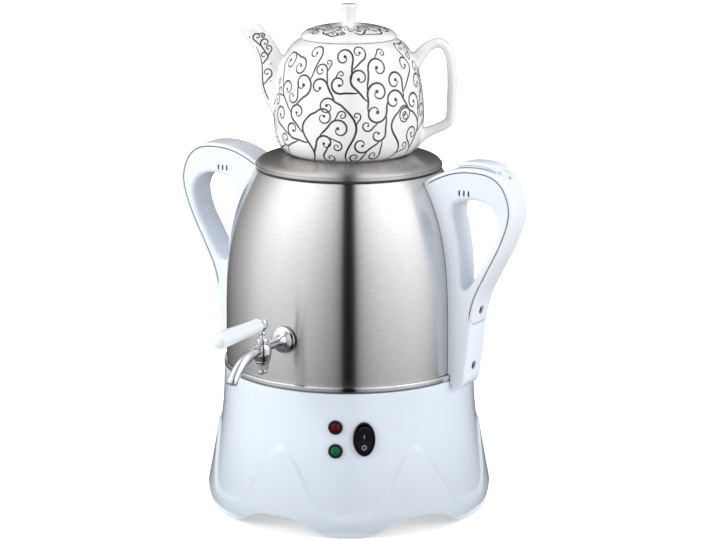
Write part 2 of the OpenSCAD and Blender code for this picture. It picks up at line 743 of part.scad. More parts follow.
module lever_grip() {
    root_r = lever_r - 1.7;
    color(white) at_tap() translate([grip_x, 0, lever_z]) rotate([0, 90, 0]) difference() {
        rotate_extrude() polygon(concat([[0, 0], [root_r - 1.2, 0], [root_r, 1.2]],
            [for (a = [0:15:90]) [lever_r * cos(a), lever_l - lever_r + lever_r * sin(a)]]));
        translate([0, 0, -1]) cylinder(r = rod_r + touch, h = 14);
    }
}

// ---- Handles: x outward and z up, before the turn to the other side ----

handle_low = base_h - 6.5;
handle_h = mouth_z + 10 - handle_low;

// Each row is a point on the outer edge and the point of the hand opening that faces it: outward in
// hundredths of the reach, or inward in hundredths of the step from the tank's foot to its mouth, and up
handle_rows = [
    [[-80, 94.1], [3.6, 79]], [[-11.4, 98.8], [6.3, 83.8]], [[28, 100.7], [23, 86.2]],
    [[64, 99.7], [46.5, 86.5]], [[87.5, 94.8], [64, 84.6]], [[99.5, 86], [75, 80]],
    [[98, 77.3], [76.4, 75]], [[84, 65.7], [69.6, 67.6]],
    [[62.5, 53], [57, 60.5]], [[45.5, 42.4], [44.6, 53.8]], [[37.5, 33], [34.8, 49.2]],
    [[32.5, 21], [28, 46.8]], [[28, 10.3], [25, 46.05]], [[24, 3.2], [23.2, 45.8]],
    [[12.5, 0], [21.4, 45.7]], [[1, 2.2], [19.8, 46]],
    [[-16, 9], [18.2, 46.8]], [[-20.6, 28], [16.8, 48.6]], [[-25.1, 47], [16, 53]], [[-36.6, 66], [14.3, 61]],
    [[-64, 81], [10.7, 68.6]], [[-93.4, 90.6], [7.1, 74]]];
function handle_place(p) = [tank_r + (p[0] > 0 ? handle_reach : tank_r - mouth_r) * p[0] / 100,
                            handle_low + handle_h * p[1] / 100];
steps = 3;
outer_line = closed_curve([for (r = handle_rows) handle_place(r[0])], steps);
hole_line = closed_curve([for (r = handle_rows) handle_place(r[1])], steps);
function around(line, i) = line[(i + len(line)) % len(line)];
function edge_normal(line, i) = left_of(around(line, i + 1) - around(line, i - 1));
cover_first = 0;
cover_last = 31;

// Quarter round of radius r: how far in from the edge, and how far out from the middle
round_steps = 3;
function quarter(r) = [for (i = [0:round_steps]) let (a = 90 * i / round_steps)
    [r * (1 - cos(a)), handle_t / 2 - r + r * sin(a)]];

function handle_ring(i) =
    let (covered = i >= cover_first && i <= cover_last,
         edge = quarter(covered ? 0.8 : 2.6), grip = quarter(grip_round),
         p = outer_line[i], n = edge_normal(outer_line, i), h = hole_line[i], m = edge_normal(hole_line, i),
         q = p - n * (covered ? cover_t : 0))
    concat([for (e = backwards(edge)) let (b = q - n * e[0]) [b[0], -e[1], b[1]]],
           [for (e = edge) let (b = q - n * e[0]) [b[0], e[1], b[1]]],
           [for (e = backwards(grip)) let (b = h + m * e[0]) [b[0], e[1], b[1]]],
           [for (e = grip) let (b = h + m * e[0]) [b[0], -e[1], b[1]]]);

function cover_ring(i) =
    let (edge = quarter(2.2), p = outer_line[i], n = edge_normal(outer_line, i), q = p - n * cover_t)
    concat([[q[0], -handle_t / 2, q[1]]],
           [for (e = backwards(edge)) let (b = p - n * e[0]) [b[0], -e[1], b[1]]],
           [for (e = edge) let (b = p - n * e[0]) [b[0], e[1], b[1]]],
           [[q[0], handle_t / 2, q[1]]]);

// The space that the tank, ring and base take up, with a hair of room
module body_space() {
    room = seat_gap;
    low = handle_low - 5;
    rotate_extrude($fn = 96) polygon(concat([[0, low]],
        [for (i = [0:3]) let (z = low + (base_h - low) * i / 3) [base_edge(z) + room, z]],
        [[base_top_r + 0.2 + room, base_h], [base_top_r + 0.2 + room, base_h + ring_h + room]],
        [for (p = tank_line(base_h + ring_h + room, mouth_z, 24)) [p[0] + room, p[1]]],
        [[lid_rim_r + 2, mouth_z], [lid_rim_r + 2, mouth_z + 30], [0, mouth_z + 30]]));
}

slot_xs = [15, 22.5, 30];
slot_w = 1.2;
slot_h = 4.8;
slot_deep = 1.5;
slot_z = handle_place([0, 88.3])[1];
module handle_half() {
    difference() {
        sweep([for (i = [0:len(outer_line) - 1]) handle_ring(i)], closed = true);
        body_space();
        for (x = slot_xs, s = [-1, 1])
            translate([tank_r + handle_reach * x / 100 - slot_w / 2, s * handle_t / 2 - slot_deep, slot_z])
                cube([slot_w, 2 * slot_deep, slot_h]);
        handle_screw_holes();
        bolt_holes();
    }
}
module handle_right() color(white) difference() {
    handle_half();
    latch_pocket();
}
module handle_left() color(white) mirror([1, 0, 0]) handle_half();

module cover_half() {
    difference() {
        sweep([for (i = [cover_first:cover_last]) cover_ring(i)]);
        body_space();
        handle_screw_holes();
    }
}
module handle_cover_right() color(white) difference() {
    cover_half();
    latch_pocket();
}
module handle_cover_left() color(white) mirror([1, 0, 0]) cover_half();

// Screws: one in the cover's tip and one low on the leg, both pointing at the tank
tip_screw = outer_line[29];
low_screw = outer_line[36];
head_r = 3;
recess_r = 3.8;
recess_deep = 4.5;
module handle_screw_holes() {
    for (p = [tip_screw, low_screw]) {
        translate([p[0] - 16, 0, p[1]]) rotate([0, 90, 0]) cylinder(r = screw_r + 0.1, h = 30);
        translate([p[0] - recess_deep, 0, p[1]]) rotate([0, 90, 0]) cylinder(r = recess_r, h = 30);
    }
}
module handle_screws() {
    color(steel) both_sides() for (p = [tip_screw, low_screw]) {
        translate([p[0] - 15, 0, p[1]]) rotate([0, 90, 0]) cylinder(r = screw_r, h = 15 - recess_deep + 0.2);
        translate([p[0] - recess_deep + touch, 0, p[1]]) rotate([0, 90, 0]) difference() {
            cylinder(r = head_r, h = 1.8);
            translate([-2, -0.35, 1]) cube([4, 0.7, 2]);
            translate([-0.35, -2, 1]) cube([0.7, 4, 2]);
        }
    }
}

// Bolts from inside the tank into the handles
bolt_r = 2;
bolt_heights = [base_h + 30, base_h + tank_h * 0.72];
bolt_l = 9;
module bolt_holes() {
    for (z = bolt_heights) on_tank(90, z) translate([0, 0, -5]) cylinder(r = bolt_r + 0.1, h = 5 + bolt_l);
}
module handle_bolts() {
    color(steel) for (az = [90, -90], z = bolt_heights) on_tank(az, z) {
        translate([0, 0, -tank_t - 1.4 - 2.4]) hexagon(7, 2.4);
        translate([0, 0, -tank_t - 1.5 - 1]) cylinder(r = bolt_r, h = tank_t + 2.5 + bolt_l - 1);
    }
}
module bolt_washers() {
    color([0.12, 0.12, 0.12]) for (az = [90, -90], z = bolt_heights) on_tank(az, z)
        translate([0, 0, -tank_t - 1.35]) pipe(5, bolt_r + 0.1, 1.1);
}

// ---- Thumb latch on the right handle ----

latch_pin_line = 11;
latch_pin_at = outer_line[latch_pin_line] - edge_normal(outer_line, latch_pin_line) * 4.6;
knuckle_r = 3.3;
knuckle_w = 8;
latch_from = 4;
latch_to = 10;
latch_gap = 0.5;

module latch_pocket() {
    translate([latch_pin_at[0] - knuckle_r - 2.4, -knuckle_w / 2 - seat_gap,
               latch_pin_at[1] - knuckle_r - 0.6]) cube([2 * knuckle_r + 4.4, knuckle_w + 2 * seat_gap, 30]);
    translate([latch_pin_at[0], handle_t / 2 - 8, latch_pin_at[1]]) rotate([90, 0, 0])
        cylinder(r = latch_pin_r + touch, h = handle_t - 16);
}

module thumb_latch() {
    above = function(i, lift) outer_line[i] + edge_normal(outer_line, i) * lift;
    low = [for (i = [latch_from:latch_to]) above(i, latch_gap)];
    rise = [3.2, 3.9, 4.2, 4.4, 4.4, 4.2, 3.6];
    top = [for (i = [latch_from:latch_to]) above(i, latch_gap + rise[i - latch_from])];
    px = latch_pin_at[0];
    pz = latch_pin_at[1];
    end = px - 3;
    color(white) difference() {
        union() {
            intersection() {
                rotate([90, 0, 0]) translate([0, 0, -latch_w / 2]) linear_extrude(latch_w)
                    polygon(concat(low, backwards(top)));
                translate([0, -latch_w / 2, 0]) cube([end, latch_w, 2 * mouth_z]);
            }
            rotate([90, 0, 0]) translate([0, 0, -knuckle_w / 2]) linear_extrude(knuckle_w)
                polygon([[px - knuckle_r + 0.2, pz + 0.8], [px + 2, pz + 1.5], [px + 1, pz + 5],
                         [end, pz + 9], [end - 2, pz + 7]]);
            translate([px, knuckle_w / 2, pz]) rotate([90, 0, 0]) cylinder(r = knuckle_r, h = knuckle_w);
        }
        translate([px, handle_t / 2, pz]) rotate([90, 0, 0])
            cylinder(r = latch_pin_r + running, h = handle_t);
    }
}

module latch_pin() {
    color(steel) translate([latch_pin_at[0], handle_t / 2 - 8 - touch, latch_pin_at[1]]) rotate([90, 0, 0])
        cylinder(r = latch_pin_r, h = handle_t - 16 - 2 * touch);
}

// ---- Lid ----

// Crown of the lid, from the rim in to the edge of the seat
crown_in = seat_r + 3;
crown_mid = crown_in - 6;
crown = [for (a = [0:10:80])
    [crown_mid + (lid_rim_r - 1 - crown_mid) * cos(a), lid_z + lid_rim_h + lid_rise * sin(a)]];

module lid_dome() {
    kept = [for (p = crown) if (p[0] > crown_in + 1) p];
    outer = concat([[lid_rim_r, lid_z], [lid_rim_r, lid_z + lid_rim_h - 0.5],
        [lid_rim_r - 0.4, lid_z + lid_rim_h]], kept,
        [[crown_in, crown_z - 0.1], [seat_r + 0.6, crown_z - 0.4], [seat_r, seat_z], [0, seat_z]]);
    inner = concat([[lid_rim_r - lid_t, lid_z], [lid_rim_r - lid_t - 0.4, lid_z + lid_rim_h - lid_t]],
        [for (p = kept) [p[0] - lid_t, p[1] - lid_t]],
        [[crown_in - lid_t, crown_z - 0.1 - lid_t], [seat_r - lid_t, crown_z - 0.8 - lid_t],
         [seat_r - lid_t - 0.4, seat_z - lid_t], [0, seat_z - lid_t]]);
    color([0.5, 0.5, 0.51]) difference() {
        rotate_extrude($fn = 96) polygon(concat(outer, backwards(inner)));
        for (a = [0:60:300]) rotate([0, 0, a]) translate([seat_r / 2, 0, seat_z - 5]) cylinder(r = 3, h = 10);
    }
}

// Ring under the lid that centres it in the mouth
module lid_skirt() {
    out = mouth_r - tank_t - 1;
    color(steel) rotate_extrude($fn = 96) polygon([[out, mouth_z - 7], [out, lid_z + lid_rim_h + 1.2],
        [out - 1, lid_z + lid_rim_h + 1.2], [out - 1, mouth_z - 7]]);
}

// ---- Teapot ----

// Each point is a share of the largest radius and a share of the body's height
pot_shape = [[0.78, 0.012], [0.88, 0.05], [0.965, 0.14], [1, 0.3], [0.995, 0.45], [0.96, 0.63], [0.895, 0.8]];
pot_line = open_curve(concat([[pot_foot_r, pot_z], [pot_foot_r + 1, pot_z + 0.6]],
    [for (p = pot_shape) [pot_r * p[0], pot_z + pot_h * p[1]]],
    [[pot_mouth_r + 8, pot_top - 6], [pot_mouth_r, pot_top]]), 3);
pot_inside = [for (p = shifted(pot_line, pot_t)) if (p[1] > pot_z + pot_t && p[1] < pot_top - 1) p];
spout_az = 210;
neck_r = pot_mouth_r - 3.5;

// Spout: distance from the axis, height above the foot, half-width across the travel. The last row
// is the mouth, which is cut nearly level.
spout_rows = [[40, 27, 15], [50, 42.8, 17], [58, 57.6, 15.5], [63, 70.4, 12.6], [68, 84.2, 10.2],
              [74.5, 96, 8.6], [82.7, 105.1, 8.2]];
mouth_half = 9.2;
mouth_tilt = 2.2;
function spout_place(p) = [pot_r * p[0] / 62.8 + (spout_reach - 20) * max(0, p[0] - 50) / 33, 0,
                           pot_z + pot_h * p[1] / 96];
spout_path = open_curve([for (p = spout_rows) spout_place(p)], 2);
spout_width = open_curve([for (p = spout_rows) [p[2], 0]], 2);

module spout_shape(less, from) {
    n = len(spout_path) - 1;
    rings = oval_rings(spout_path, [0, 1, 0], [for (w = spout_width) w[0] - less],
                       [for (w = spout_width) w[0] * 0.86 - less], 24);
    middle = spout_path[n] + [less * 0.7, 0, less * 0.9];
    mouth = [for (j = [0:23]) let (a = 15 * j) middle + [-(mouth_half - less) * cos(a),
        (spout_width[n][0] * 0.86 - less) * sin(a), mouth_tilt * cos(a)]];
    rotate([0, 0, spout_az]) sweep(concat([for (i = [from:n - 2]) rings[i]], [mouth]));
}

// Handle: distance from the axis and height above the foot, along the middle of the strap
strap_rows = [[50, 71], [57, 79.5], [64, 87.3], [70, 91.2], [76, 91.9], [82, 86.7], [85.2, 75], [86, 60],
              [85.8, 47], [85.3, 35.5], [84, 27.8], [79.5, 23.9], [74, 21.5], [67, 18.7], [60, 15], [52, 9]];
function strap_place(p) = [pot_r * p[0] / 62.8 + (strap_reach - 26) * max(0, p[0] - 60) / 26, 0,
                           pot_z + pot_h * p[1] / 96];
strap_path = open_curve([for (p = strap_rows) strap_place(p)], 2);
strap_half_w = 6.5;
strap_half_t = 3.9;

module strap_shape() {
    n = len(strap_path) - 1;
    grow = [for (i = [0:n]) 1 + 0.8 * pow(max(0, 1 - i / 7), 2) + 0.7 * pow(max(0, 1 - (n - i) / 6), 2)];
    rotate([0, 0, spout_az + 180]) sweep(oval_rings(strap_path, [0, 1, 0],
        [for (g = grow) strap_half_t * g], [for (g = grow) strap_half_w * g], 14));
}

// The outside of the teapot's bowl, and the space inside it. The bowl is drawn in three pieces: its
// floor ends at bowl_low, and its wall is parted at bowl_mid.
bowl_low = pot_z + pot_t + 1;
bowl_mid = pot_z + pot_h * 0.45;
module pot_outside(grow = 0) {
    rotate_extrude($fn = 96) polygon(concat(
        [[0, pot_z + 1.5], [pot_foot_r - 4, pot_z + 1.5], [pot_foot_r - 3, pot_z]],
        [for (p = pot_line) [p[0] + grow, p[1]]], [[0, pot_top]]));
}
module pot_hollow() {
    rotate_extrude($fn = 96) polygon(concat([[0, bowl_low], [pot_foot_r - 3, bowl_low]],
        pot_inside, [[neck_r, pot_top - 3], [neck_r, pot_top + 1], [0, pot_top + 1]]));
}
module spout_bore() spout_shape(pot_t - 0.6, 2);

module pot_wall(from, to) {
    intersection() {
        difference() {
            pot_outside();
            pot_hollow();
            spout_bore();
        }
        translate([0, 0, from]) cylinder(r = pot_r + 5, h = to - from);
    }
}

module teapot_body() {
    color([0.95, 0.95, 0.95]) pot_wall(pot_z + pot_t + 1, bowl_mid - touch);
}

module teapot_upper() {
    color([0.95, 0.95, 0.95]) pot_wall(bowl_mid, pot_top + 1);
}

module teapot_floor() {
    color([0.95, 0.95, 0.95]) intersection() {
        pot_outside();
        translate([0, 0, pot_z - 1]) cylinder(r = pot_r, h = pot_t + 2 - touch);
    }
}

module teapot_spout() {
    color([0.95, 0.95, 0.95]) difference() {
        spout_shape(0, 0);
        pot_outside(touch);
        spout_bore();
    }
}

module teapot_handle() {
    color([0.95, 0.95, 0.95]) difference() {
        strap_shape();
        pot_outside(touch);
    }
}

module teapot_lid() {
    lip = pot_mouth_r - 0.5;
    low = pot_top + seat_gap;
    dome = [for (a = [0:10:80]) [lip * cos(a), low + 1.2 + 10.5 * sin(a)]];
    color([0.95, 0.95, 0.95]) difference() {
        rotate_extrude($fn = 96) polygon(concat([[0, low + 4], [neck_r - 3.6, low + 1.4],
            [neck_r - 3.6, low - 6],
            [neck_r - 1, low - 6], [neck_r - 1, low], [lip, low]], dome,
            [[6.4, low + 12.3], [5.9, low + 15], [6.2, low + 22], [7.2, low + 26.6], [6.8, low + 28],
             [0, low + 28.4]]));
        rotate([0, 0, 50]) translate([lip * 0.8, 0, low - 2]) cylinder(r = 1.2, h = 20);
    }
}

base_shell();
base_plate();
foot_pads();
base_nuts();
tank_studs();
trim_ring();
tank_wall();
tank_floor();
mouth_gasket();
heater_plate();
heating_element();
thermostat();
thermostat_strap();
strap_screws();
terminal_block();
wiring();
inlet_housing();
inlet_blades();
inlet_screws();
switch_housing();
switch_rocker();
switch_terminals();
lamp_bezels();
lamp_red();
lamp_green();
lamp_clips();
tap_body();
tap_washers();
tap_nut();
tap_plug();
plug_washer();
plug_nut();
lever_rod();
lever_grip();
handle_right();
handle_left();
handle_cover_right();
handle_cover_left();
handle_screws();
handle_bolts();
bolt_washers();
thumb_latch();
latch_pin();
lid_dome();
lid_skirt();
teapot_body();
teapot_upper();
teapot_floor();
teapot_spout();
teapot_handle();
teapot_lid();
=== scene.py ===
import math
import random

import bmesh
import bpy
import numpy as np
from mathutils import Matrix, Vector
from mathutils.bvhtree import BVHTree


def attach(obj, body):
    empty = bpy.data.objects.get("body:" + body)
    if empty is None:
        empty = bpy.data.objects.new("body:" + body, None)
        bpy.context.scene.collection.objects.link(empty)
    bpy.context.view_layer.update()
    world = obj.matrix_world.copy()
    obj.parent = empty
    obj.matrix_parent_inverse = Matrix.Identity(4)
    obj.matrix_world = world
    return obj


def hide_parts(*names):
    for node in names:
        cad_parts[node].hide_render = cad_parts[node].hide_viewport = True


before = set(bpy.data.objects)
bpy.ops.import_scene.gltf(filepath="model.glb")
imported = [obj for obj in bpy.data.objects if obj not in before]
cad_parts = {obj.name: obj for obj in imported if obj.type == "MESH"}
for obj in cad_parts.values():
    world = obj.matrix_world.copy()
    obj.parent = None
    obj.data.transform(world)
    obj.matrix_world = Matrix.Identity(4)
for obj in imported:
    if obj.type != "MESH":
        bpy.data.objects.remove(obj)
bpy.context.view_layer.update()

random.seed(11)
MM = 0.001
TAU = 2 * math.pi
SCENE = bpy.context.scene
MAIN = "base_and_tank"  # the body that most pieces ride on

# ---------------------------------------------------------------- sizes in mm
# nearly all are those of the part's source; the base's wave stands 0.5 mm prouder here
TANK_R, MOUTH_R, BASE_H, TANK_H, WALL = 104.0, 77.5, 119.5, 168.5, 1.0
MOUTH_Z = BASE_H + TANK_H
BASE_T, WAVE_LOW, WAVE_HIGH, WAVE_STEP, WAVE_SOFT = 2.5, 18.0, 71.0, 1.7, 3.6
HANDLE_REACH, HANDLE_T, COVER_T, GRIP = 56.0, 30.0, 3.0, 4.0
TAP_X, TAP_Z = 138.0, 161.5
PANEL_Z, LAMP_X, LAMP_GAP, SWITCH_X, INLET_Z = 82.0, -10.7, 9.75, 12.6, 94
# in degrees, from the tap at -Y: the camera looks at the switch and lamps, and the inlet is at the back
PANEL_AZ, INLET_AZ = 30, 180
VIEW = math.radians(PANEL_AZ)
# in degrees, from +X
STRAP_AZ, SPOUT_AZ = 30, 210


def smooth(t):
    t = max(0.0, min(1.0, t))
    return t * t * (3 - 2 * t)


def steps(start, stop, n, first=0):
    return [start + (stop - start) * k / n for k in range(first, n + 1)]


def arc(x, z, across, up, angles):
    return [(x + across * math.cos(a), z + up * math.sin(a)) for a in angles]


def spokes(n):
    return [(math.cos(TAU * j / n), math.sin(TAU * j / n)) for j in range(n)]


def tank_edge(z):
    t = max(0.0, min(1.0, (z - BASE_H) / TANK_H))
    return MOUTH_R + (TANK_R - MOUTH_R) * (1 - t ** 4.2)


def flare(d):
    return 0.1 * (d - 36 + math.hypot(d - 36, 25))


def base_edge(z):
    return TANK_R + 2 + flare(BASE_H - z) - flare(0)


def curl(z):
    return 6 * ((20 - z) / 20) ** 2.2 if z < 20 else 0.0


# ---------------------------------------------------------------- mesh helpers
def add_object(name, data):
    ob = bpy.data.objects.new(name, data)
    SCENE.collection.objects.link(ob)
    return ob


def new_mesh(name, verts, faces, angle=32, scale=MM):
    me = bpy.data.meshes.new(name)
    me.from_pydata([tuple(float(c) * scale for c in v) for v in verts], [], [tuple(f) for f in faces])
    bm = bmesh.new()
    bm.from_mesh(me)
    bmesh.ops.remove_doubles(bm, verts=bm.verts, dist=2e-7)
    bmesh.ops.recalc_face_normals(bm, faces=bm.faces)
    bm.to_mesh(me)
    bm.free()
    return shade(add_object(name, me), angle)


def shade(ob, angle=32):
    me = ob.data
    me.polygons.foreach_set("use_smooth", [True] * len(me.polygons))
    me.set_sharp_from_angle(angle=math.radians(angle))
    me.update()
    return ob


def loft(name, rings, closed=False, angle=32):
    """a skin over rings of points; its ends are capped unless the last ring joins the first"""
    n, m = len(rings), len(rings[0])
    verts = [p for r in rings for p in r]
    faces = []
    for i in range(n if closed else n - 1):
        k = (i + 1) % n
        for j in range(m):
            l = (j + 1) % m
            faces.append((i * m + j, i * m + l, k * m + l, k * m + j))
    if not closed:
        faces += [tuple(range(m)), tuple((n - 1) * m + j for j in range(m))]
    return new_mesh(name, verts, faces, angle)


def revolve(name, profile, n, place=None, angle=32):
    """profile: (radius, height) points; those with radius 0 close on the axis"""
    verts, rows = [], []
    for r, z in profile:
        if r < 1e-6:
            rows.append([len(verts)] * n)
            verts.append((0, 0, z))
        else:
            rows.append(list(range(len(verts), len(verts) + n)))
            verts += [(r * c, r * s, z) for c, s in spokes(n)]
    faces = []
    for a, b in zip(rows, rows[1:]):
        for j in range(n):
            k = (j + 1) % n
            face = list(dict.fromkeys((a[j], a[k], b[k], b[j])))
            if len(face) > 2:
                faces.append(face)
    if place is not None:
        verts = [place @ Vector(v) for v in verts]
    return new_mesh(name, verts, faces, angle)


def unit(v):
    return v / np.linalg.norm(v)


def fillet(points, radii, parts=5, closed=False):
    """the line through points with each corner rounded"""
    out, n = [], len(points)
    for i, r in enumerate(radii):
        p = np.array(points[i], float)
        a, b = np.array(points[i - 1], float) - p, np.array(points[(i + 1) % n], float) - p
        la, lb = np.linalg.norm(a), np.linalg.norm(b)
        a, b = a / la, b / lb
        half = math.acos(max(-1, min(1, a @ b))) / 2
        if r <= 0 or half > 1.53 or (not closed and i in (0, n - 1)):
            out.append(tuple(p))
            continue
        cut = min(r / math.tan(half), la * 0.48, lb * 0.48)
        s, e = p + a * cut, p + b * cut
        for k in range(parts + 1):
            t = k / parts
            out.append(tuple((1 - t) ** 2 * s + 2 * t * (1 - t) * p + t * t * e))
    return out


def catmull(points, k, closed=False):
    """a smooth line through points, with k steps from each to the next"""
    p = [np.array(q, float) for q in points]
    n = len(p)
    if not closed:
        p = [2 * p[0] - p[1]] + p + [2 * p[-1] - p[-2]]
    out = []
    for i in range(n if closed else n - 1):
        a, b, c, d = (p[(i - 1) % n], p[i], p[(i + 1) % n], p[(i + 2) % n]) if closed else p[i:i + 4]
        for j in range(k):
            t = j / k
            out.append(0.5 * (2 * b + (c - a) * t + (2 * a - 5 * b + 4 * c - d) * t * t
                              + (3 * b - a - 3 * c + d) * t ** 3))
    if not closed:
        out.append(p[-2])
    return out


def travel(path):
    n = len(path)
    return [unit(path[min(i + 1, n - 1)] - path[max(i - 1, 0)]) for i in range(n)]


def oval_rings(path, wide, tall, sides, power=1.0):
    """oval sections along a path in the XZ plane: wide in that plane, tall across it"""
    rings = []
    for i, t in enumerate(travel(path)):
        side = unit(np.cross(t, (0, 1, 0)))
        up = np.cross(side, t)
        ring = []
        for c, s in spokes(sides):
            c, s = math.copysign(abs(c) ** power, c), math.copysign(abs(s) ** power, s)
            ring.append(path[i] + side * wide[i] * c + up * tall[i] * s)
        rings.append(ring)
    return rings


def turn_z(points, degrees):
    c, s = math.cos(math.radians(degrees)), math.sin(math.radians(degrees))
    return [(p[0] * c - p[1] * s, p[0] * s + p[1] * c, p[2]) for p in points]


def boxed(name, low, high):
    (x0, y0, z0), (x1, y1, z1) = low, high
    v = [(x, y, z) for z in (z0, z1) for x, y in ((x0, y0), (x1, y0), (x1, y1), (x0, y1))]
    f = [(0, 3, 2, 1), (4, 5, 6, 7), (0, 1, 5, 4), (1, 2, 6, 5), (2, 3, 7, 6), (3, 0, 4, 7)]
    return new_mesh(name, v, f)


def rod(name, a, b, r, n=48):
    a, b = Vector(a), Vector(b)
    long = (b - a).length
    place = Matrix.Translation(a) @ (b - a).to_track_quat("Z", "Y").to_matrix().to_4x4()
    return revolve(name, [(0, 0), (r, 0), (r, long), (0, long)], n, place)


def apply_all(ob):
    bpy.context.view_layer.update()
    me = bpy.data.meshes.new_from_object(ob.evaluated_get(bpy.context.evaluated_depsgraph_get()))
    ob.modifiers.clear()
    ob.data = me


def carve(ob, cutters, angle=32, own=False):
    """cuts the cutters out of ob and deletes them; own: for a cut that crosses itself"""
    for c in cutters:
        mod = ob.modifiers.new("cut", "BOOLEAN")
        mod.operation, mod.solver, mod.object, mod.use_self = "DIFFERENCE", "EXACT", c, own
    apply_all(ob)
    for c in cutters:
        bpy.data.objects.remove(c)
    return shade(ob, angle)


def join(name, obs):
    bm = bmesh.new()
    for o in obs:
        bm.from_mesh(o.data)
    me = bpy.data.meshes.new(name)
    bm.to_mesh(me)
    bm.free()
    for o in obs:
        bpy.data.objects.remove(o)
    return shade(add_object(name, me))


def mirrored(ob, name):
    me = ob.data.copy()
    me.name = name
    me.transform(Matrix.Scale(-1, 4, (1, 0, 0)))
    me.flip_normals()
    return add_object(name, me)


# ---------------------------------------------------------------- materials
M = {}


class Tree:
    """A node tree, with short calls for what its users share"""

    def __init__(self, tree):
        self.t = tree

    def link(self, a, b):
        self.t.links.new(a, b)

    def node(self, kind, *first, **more):
        """a new node: first goes to its first inputs, and more names its properties and its other inputs"""
        n = self.t.nodes.new("ShaderNode" + kind)
        for k, v in [*enumerate(first), *more.items()]:
            if isinstance(k, str) and hasattr(n, k):
                setattr(n, k, v)
                continue
            socket = n.inputs[k.replace("_", " ") if isinstance(k, str) else k]
            if isinstance(v, bpy.types.NodeSocket):
                self.link(v, socket)
            else:
                socket.default_value = v
        return n

    def place(self):
        return self.node("TexCoord").outputs["Object"]

    def calc(self, operation, *values):
        return self.node("Math", *values, operation=operation).outputs[0]

    def span(self, value, source, target, kind="LINEAR"):
        """value, carried over from the range source to the range target"""
        n = self.node("MapRange", value, interpolation_type=kind)
        for k, v in zip(("From Min", "From Max", "To Min", "To Max"), (*source, *target)):
            n.inputs[k].default_value = v
        return n.outputs["Result"]


class Mat(Tree):
    """A material on the Principled shader, kept in M"""

    def __init__(self, name, color, rough, metallic=0.0, **more):
        M[name] = bpy.data.materials.new(name)
        M[name].use_nodes = True
        super().__init__(M[name].node_tree)
        self.shader = self.t.nodes["Principled BSDF"].inputs
        self.color, self.at = color, self.place()
        more.update(Base_Color=(*color, 1), Roughness=rough, Metallic=metallic)
        for k, v in more.items():
            self.shader[k.replace("_", " ")].default_value = v

    def noise(self, scale, detail=3):
        return self.node("TexNoise", self.at, Scale=scale, Detail=detail, Roughness=0.5).outputs["Fac"]

    def tint(self, fac, dark, light, low=0.3, high=0.7):
        ramp = self.node("ValToRGB", fac)
        for stop, at, color in zip(ramp.color_ramp.elements, (low, high), (dark, light)):
            stop.position = at
            stop.color = (*color, 1)
        self.link(ramp.outputs["Color"], self.shader["Base Color"])

    def mottle(self, fac, share, low=0.3, high=0.7):
        """the material's own colour, made that share darker and lighter by fac"""
        dark, light = (tuple(min(1.0, c * k) for c in self.color) for k in (1 - share, 1 + share))
        self.tint(fac, dark, light, low, high)

    def roughen(self, fac, low, high):
        self.link(self.span(fac, (0.3, 0.7), (low, high)), self.shader["Roughness"])

    def bump(self, fac, depth, strength=1.0):
        n = self.node("Bump", Strength=strength, Distance=depth, Height=fac)
        self.link(n.outputs["Normal"], self.shader["Normal"])


def plastic(name, color, rough, vary, grain=900, depth=2e-5, **more):
    m = Mat(name, color, rough, **more)
    m.mottle(m.noise(22), vary)
    m.roughen(m.noise(60, 4), rough * 0.85, rough * 1.2)
    m.bump(m.noise(grain, 2), depth)


def metal(name, color, rough, scale=300, vary=0.06, depth=2e-5):
    m = Mat(name, color, rough, 1.0)
    m.mottle(m.noise(scale, 4), vary)
    m.roughen(m.noise(40), rough * 0.85, rough * 1.2)
    m.bump(m.noise(scale, 4), depth)


def brushed(name, color, rough, lines, vary, aniso, flat=False):
    """Steel brushed round the Z axis: fine rings by height, or by distance from the origin where flat"""
    m = Mat(name, color, rough, 1.0, Anisotropic=aniso, Anisotropic_Rotation=0.25)
    m.link(m.node("Tangent", direction_type="RADIAL", axis="Z").outputs["Tangent"], m.shader["Tangent"])
    at = m.node("SeparateXYZ", m.at).outputs
    along = m.calc("MULTIPLY", m.calc("ARCTAN2", at["Y"], at["X"]), 0.012)
    ring = m.node("VectorMath", m.at, operation="LENGTH").outputs["Value"] if flat else at["Z"]
    where = m.node("CombineXYZ", along, ring).outputs[0]
    grain = m.node("TexNoise", where, Scale=lines, Detail=5, Roughness=0.65).outputs["Fac"]
    m.mottle(grain, vary, 0.25, 0.75)
    m.roughen(m.noise(9, 2), rough * 0.98, rough * 1.03)
    m.bump(grain, 6e-6)


def lens_glass(name, deep, lit):
    m = Mat(name, deep, 0.2, Specular_IOR_Level=0.4)
    # painted glints: each facet cell is painted the lit colour in its middle, fading to the deep colour at
    # its edge
    cells = m.node("TexVoronoi", m.at, Scale=1100).outputs["Distance"]
    m.tint(cells, lit, deep, 0.0, 0.6)
    m.bump(cells, 0.0002, 0.6)


def paint_foot_shade(mat, low, high, share):
    """paints shade on a material towards the floor: takes its colour down to share at the height low, in m,
    and leaves it as it is from high up
    """
    t = Tree(mat.node_tree)
    color = t.t.nodes["Principled BSDF"].inputs["Base Color"]
    up = t.node("SeparateXYZ", t.place()).outputs["Z"]
    level = t.span(up, (low, high), (share, 1.0), "SMOOTHSTEP")
    t.link(t.node("VectorMath", color.links[0].from_socket, operation="SCALE", Scale=level).outputs[0], color)


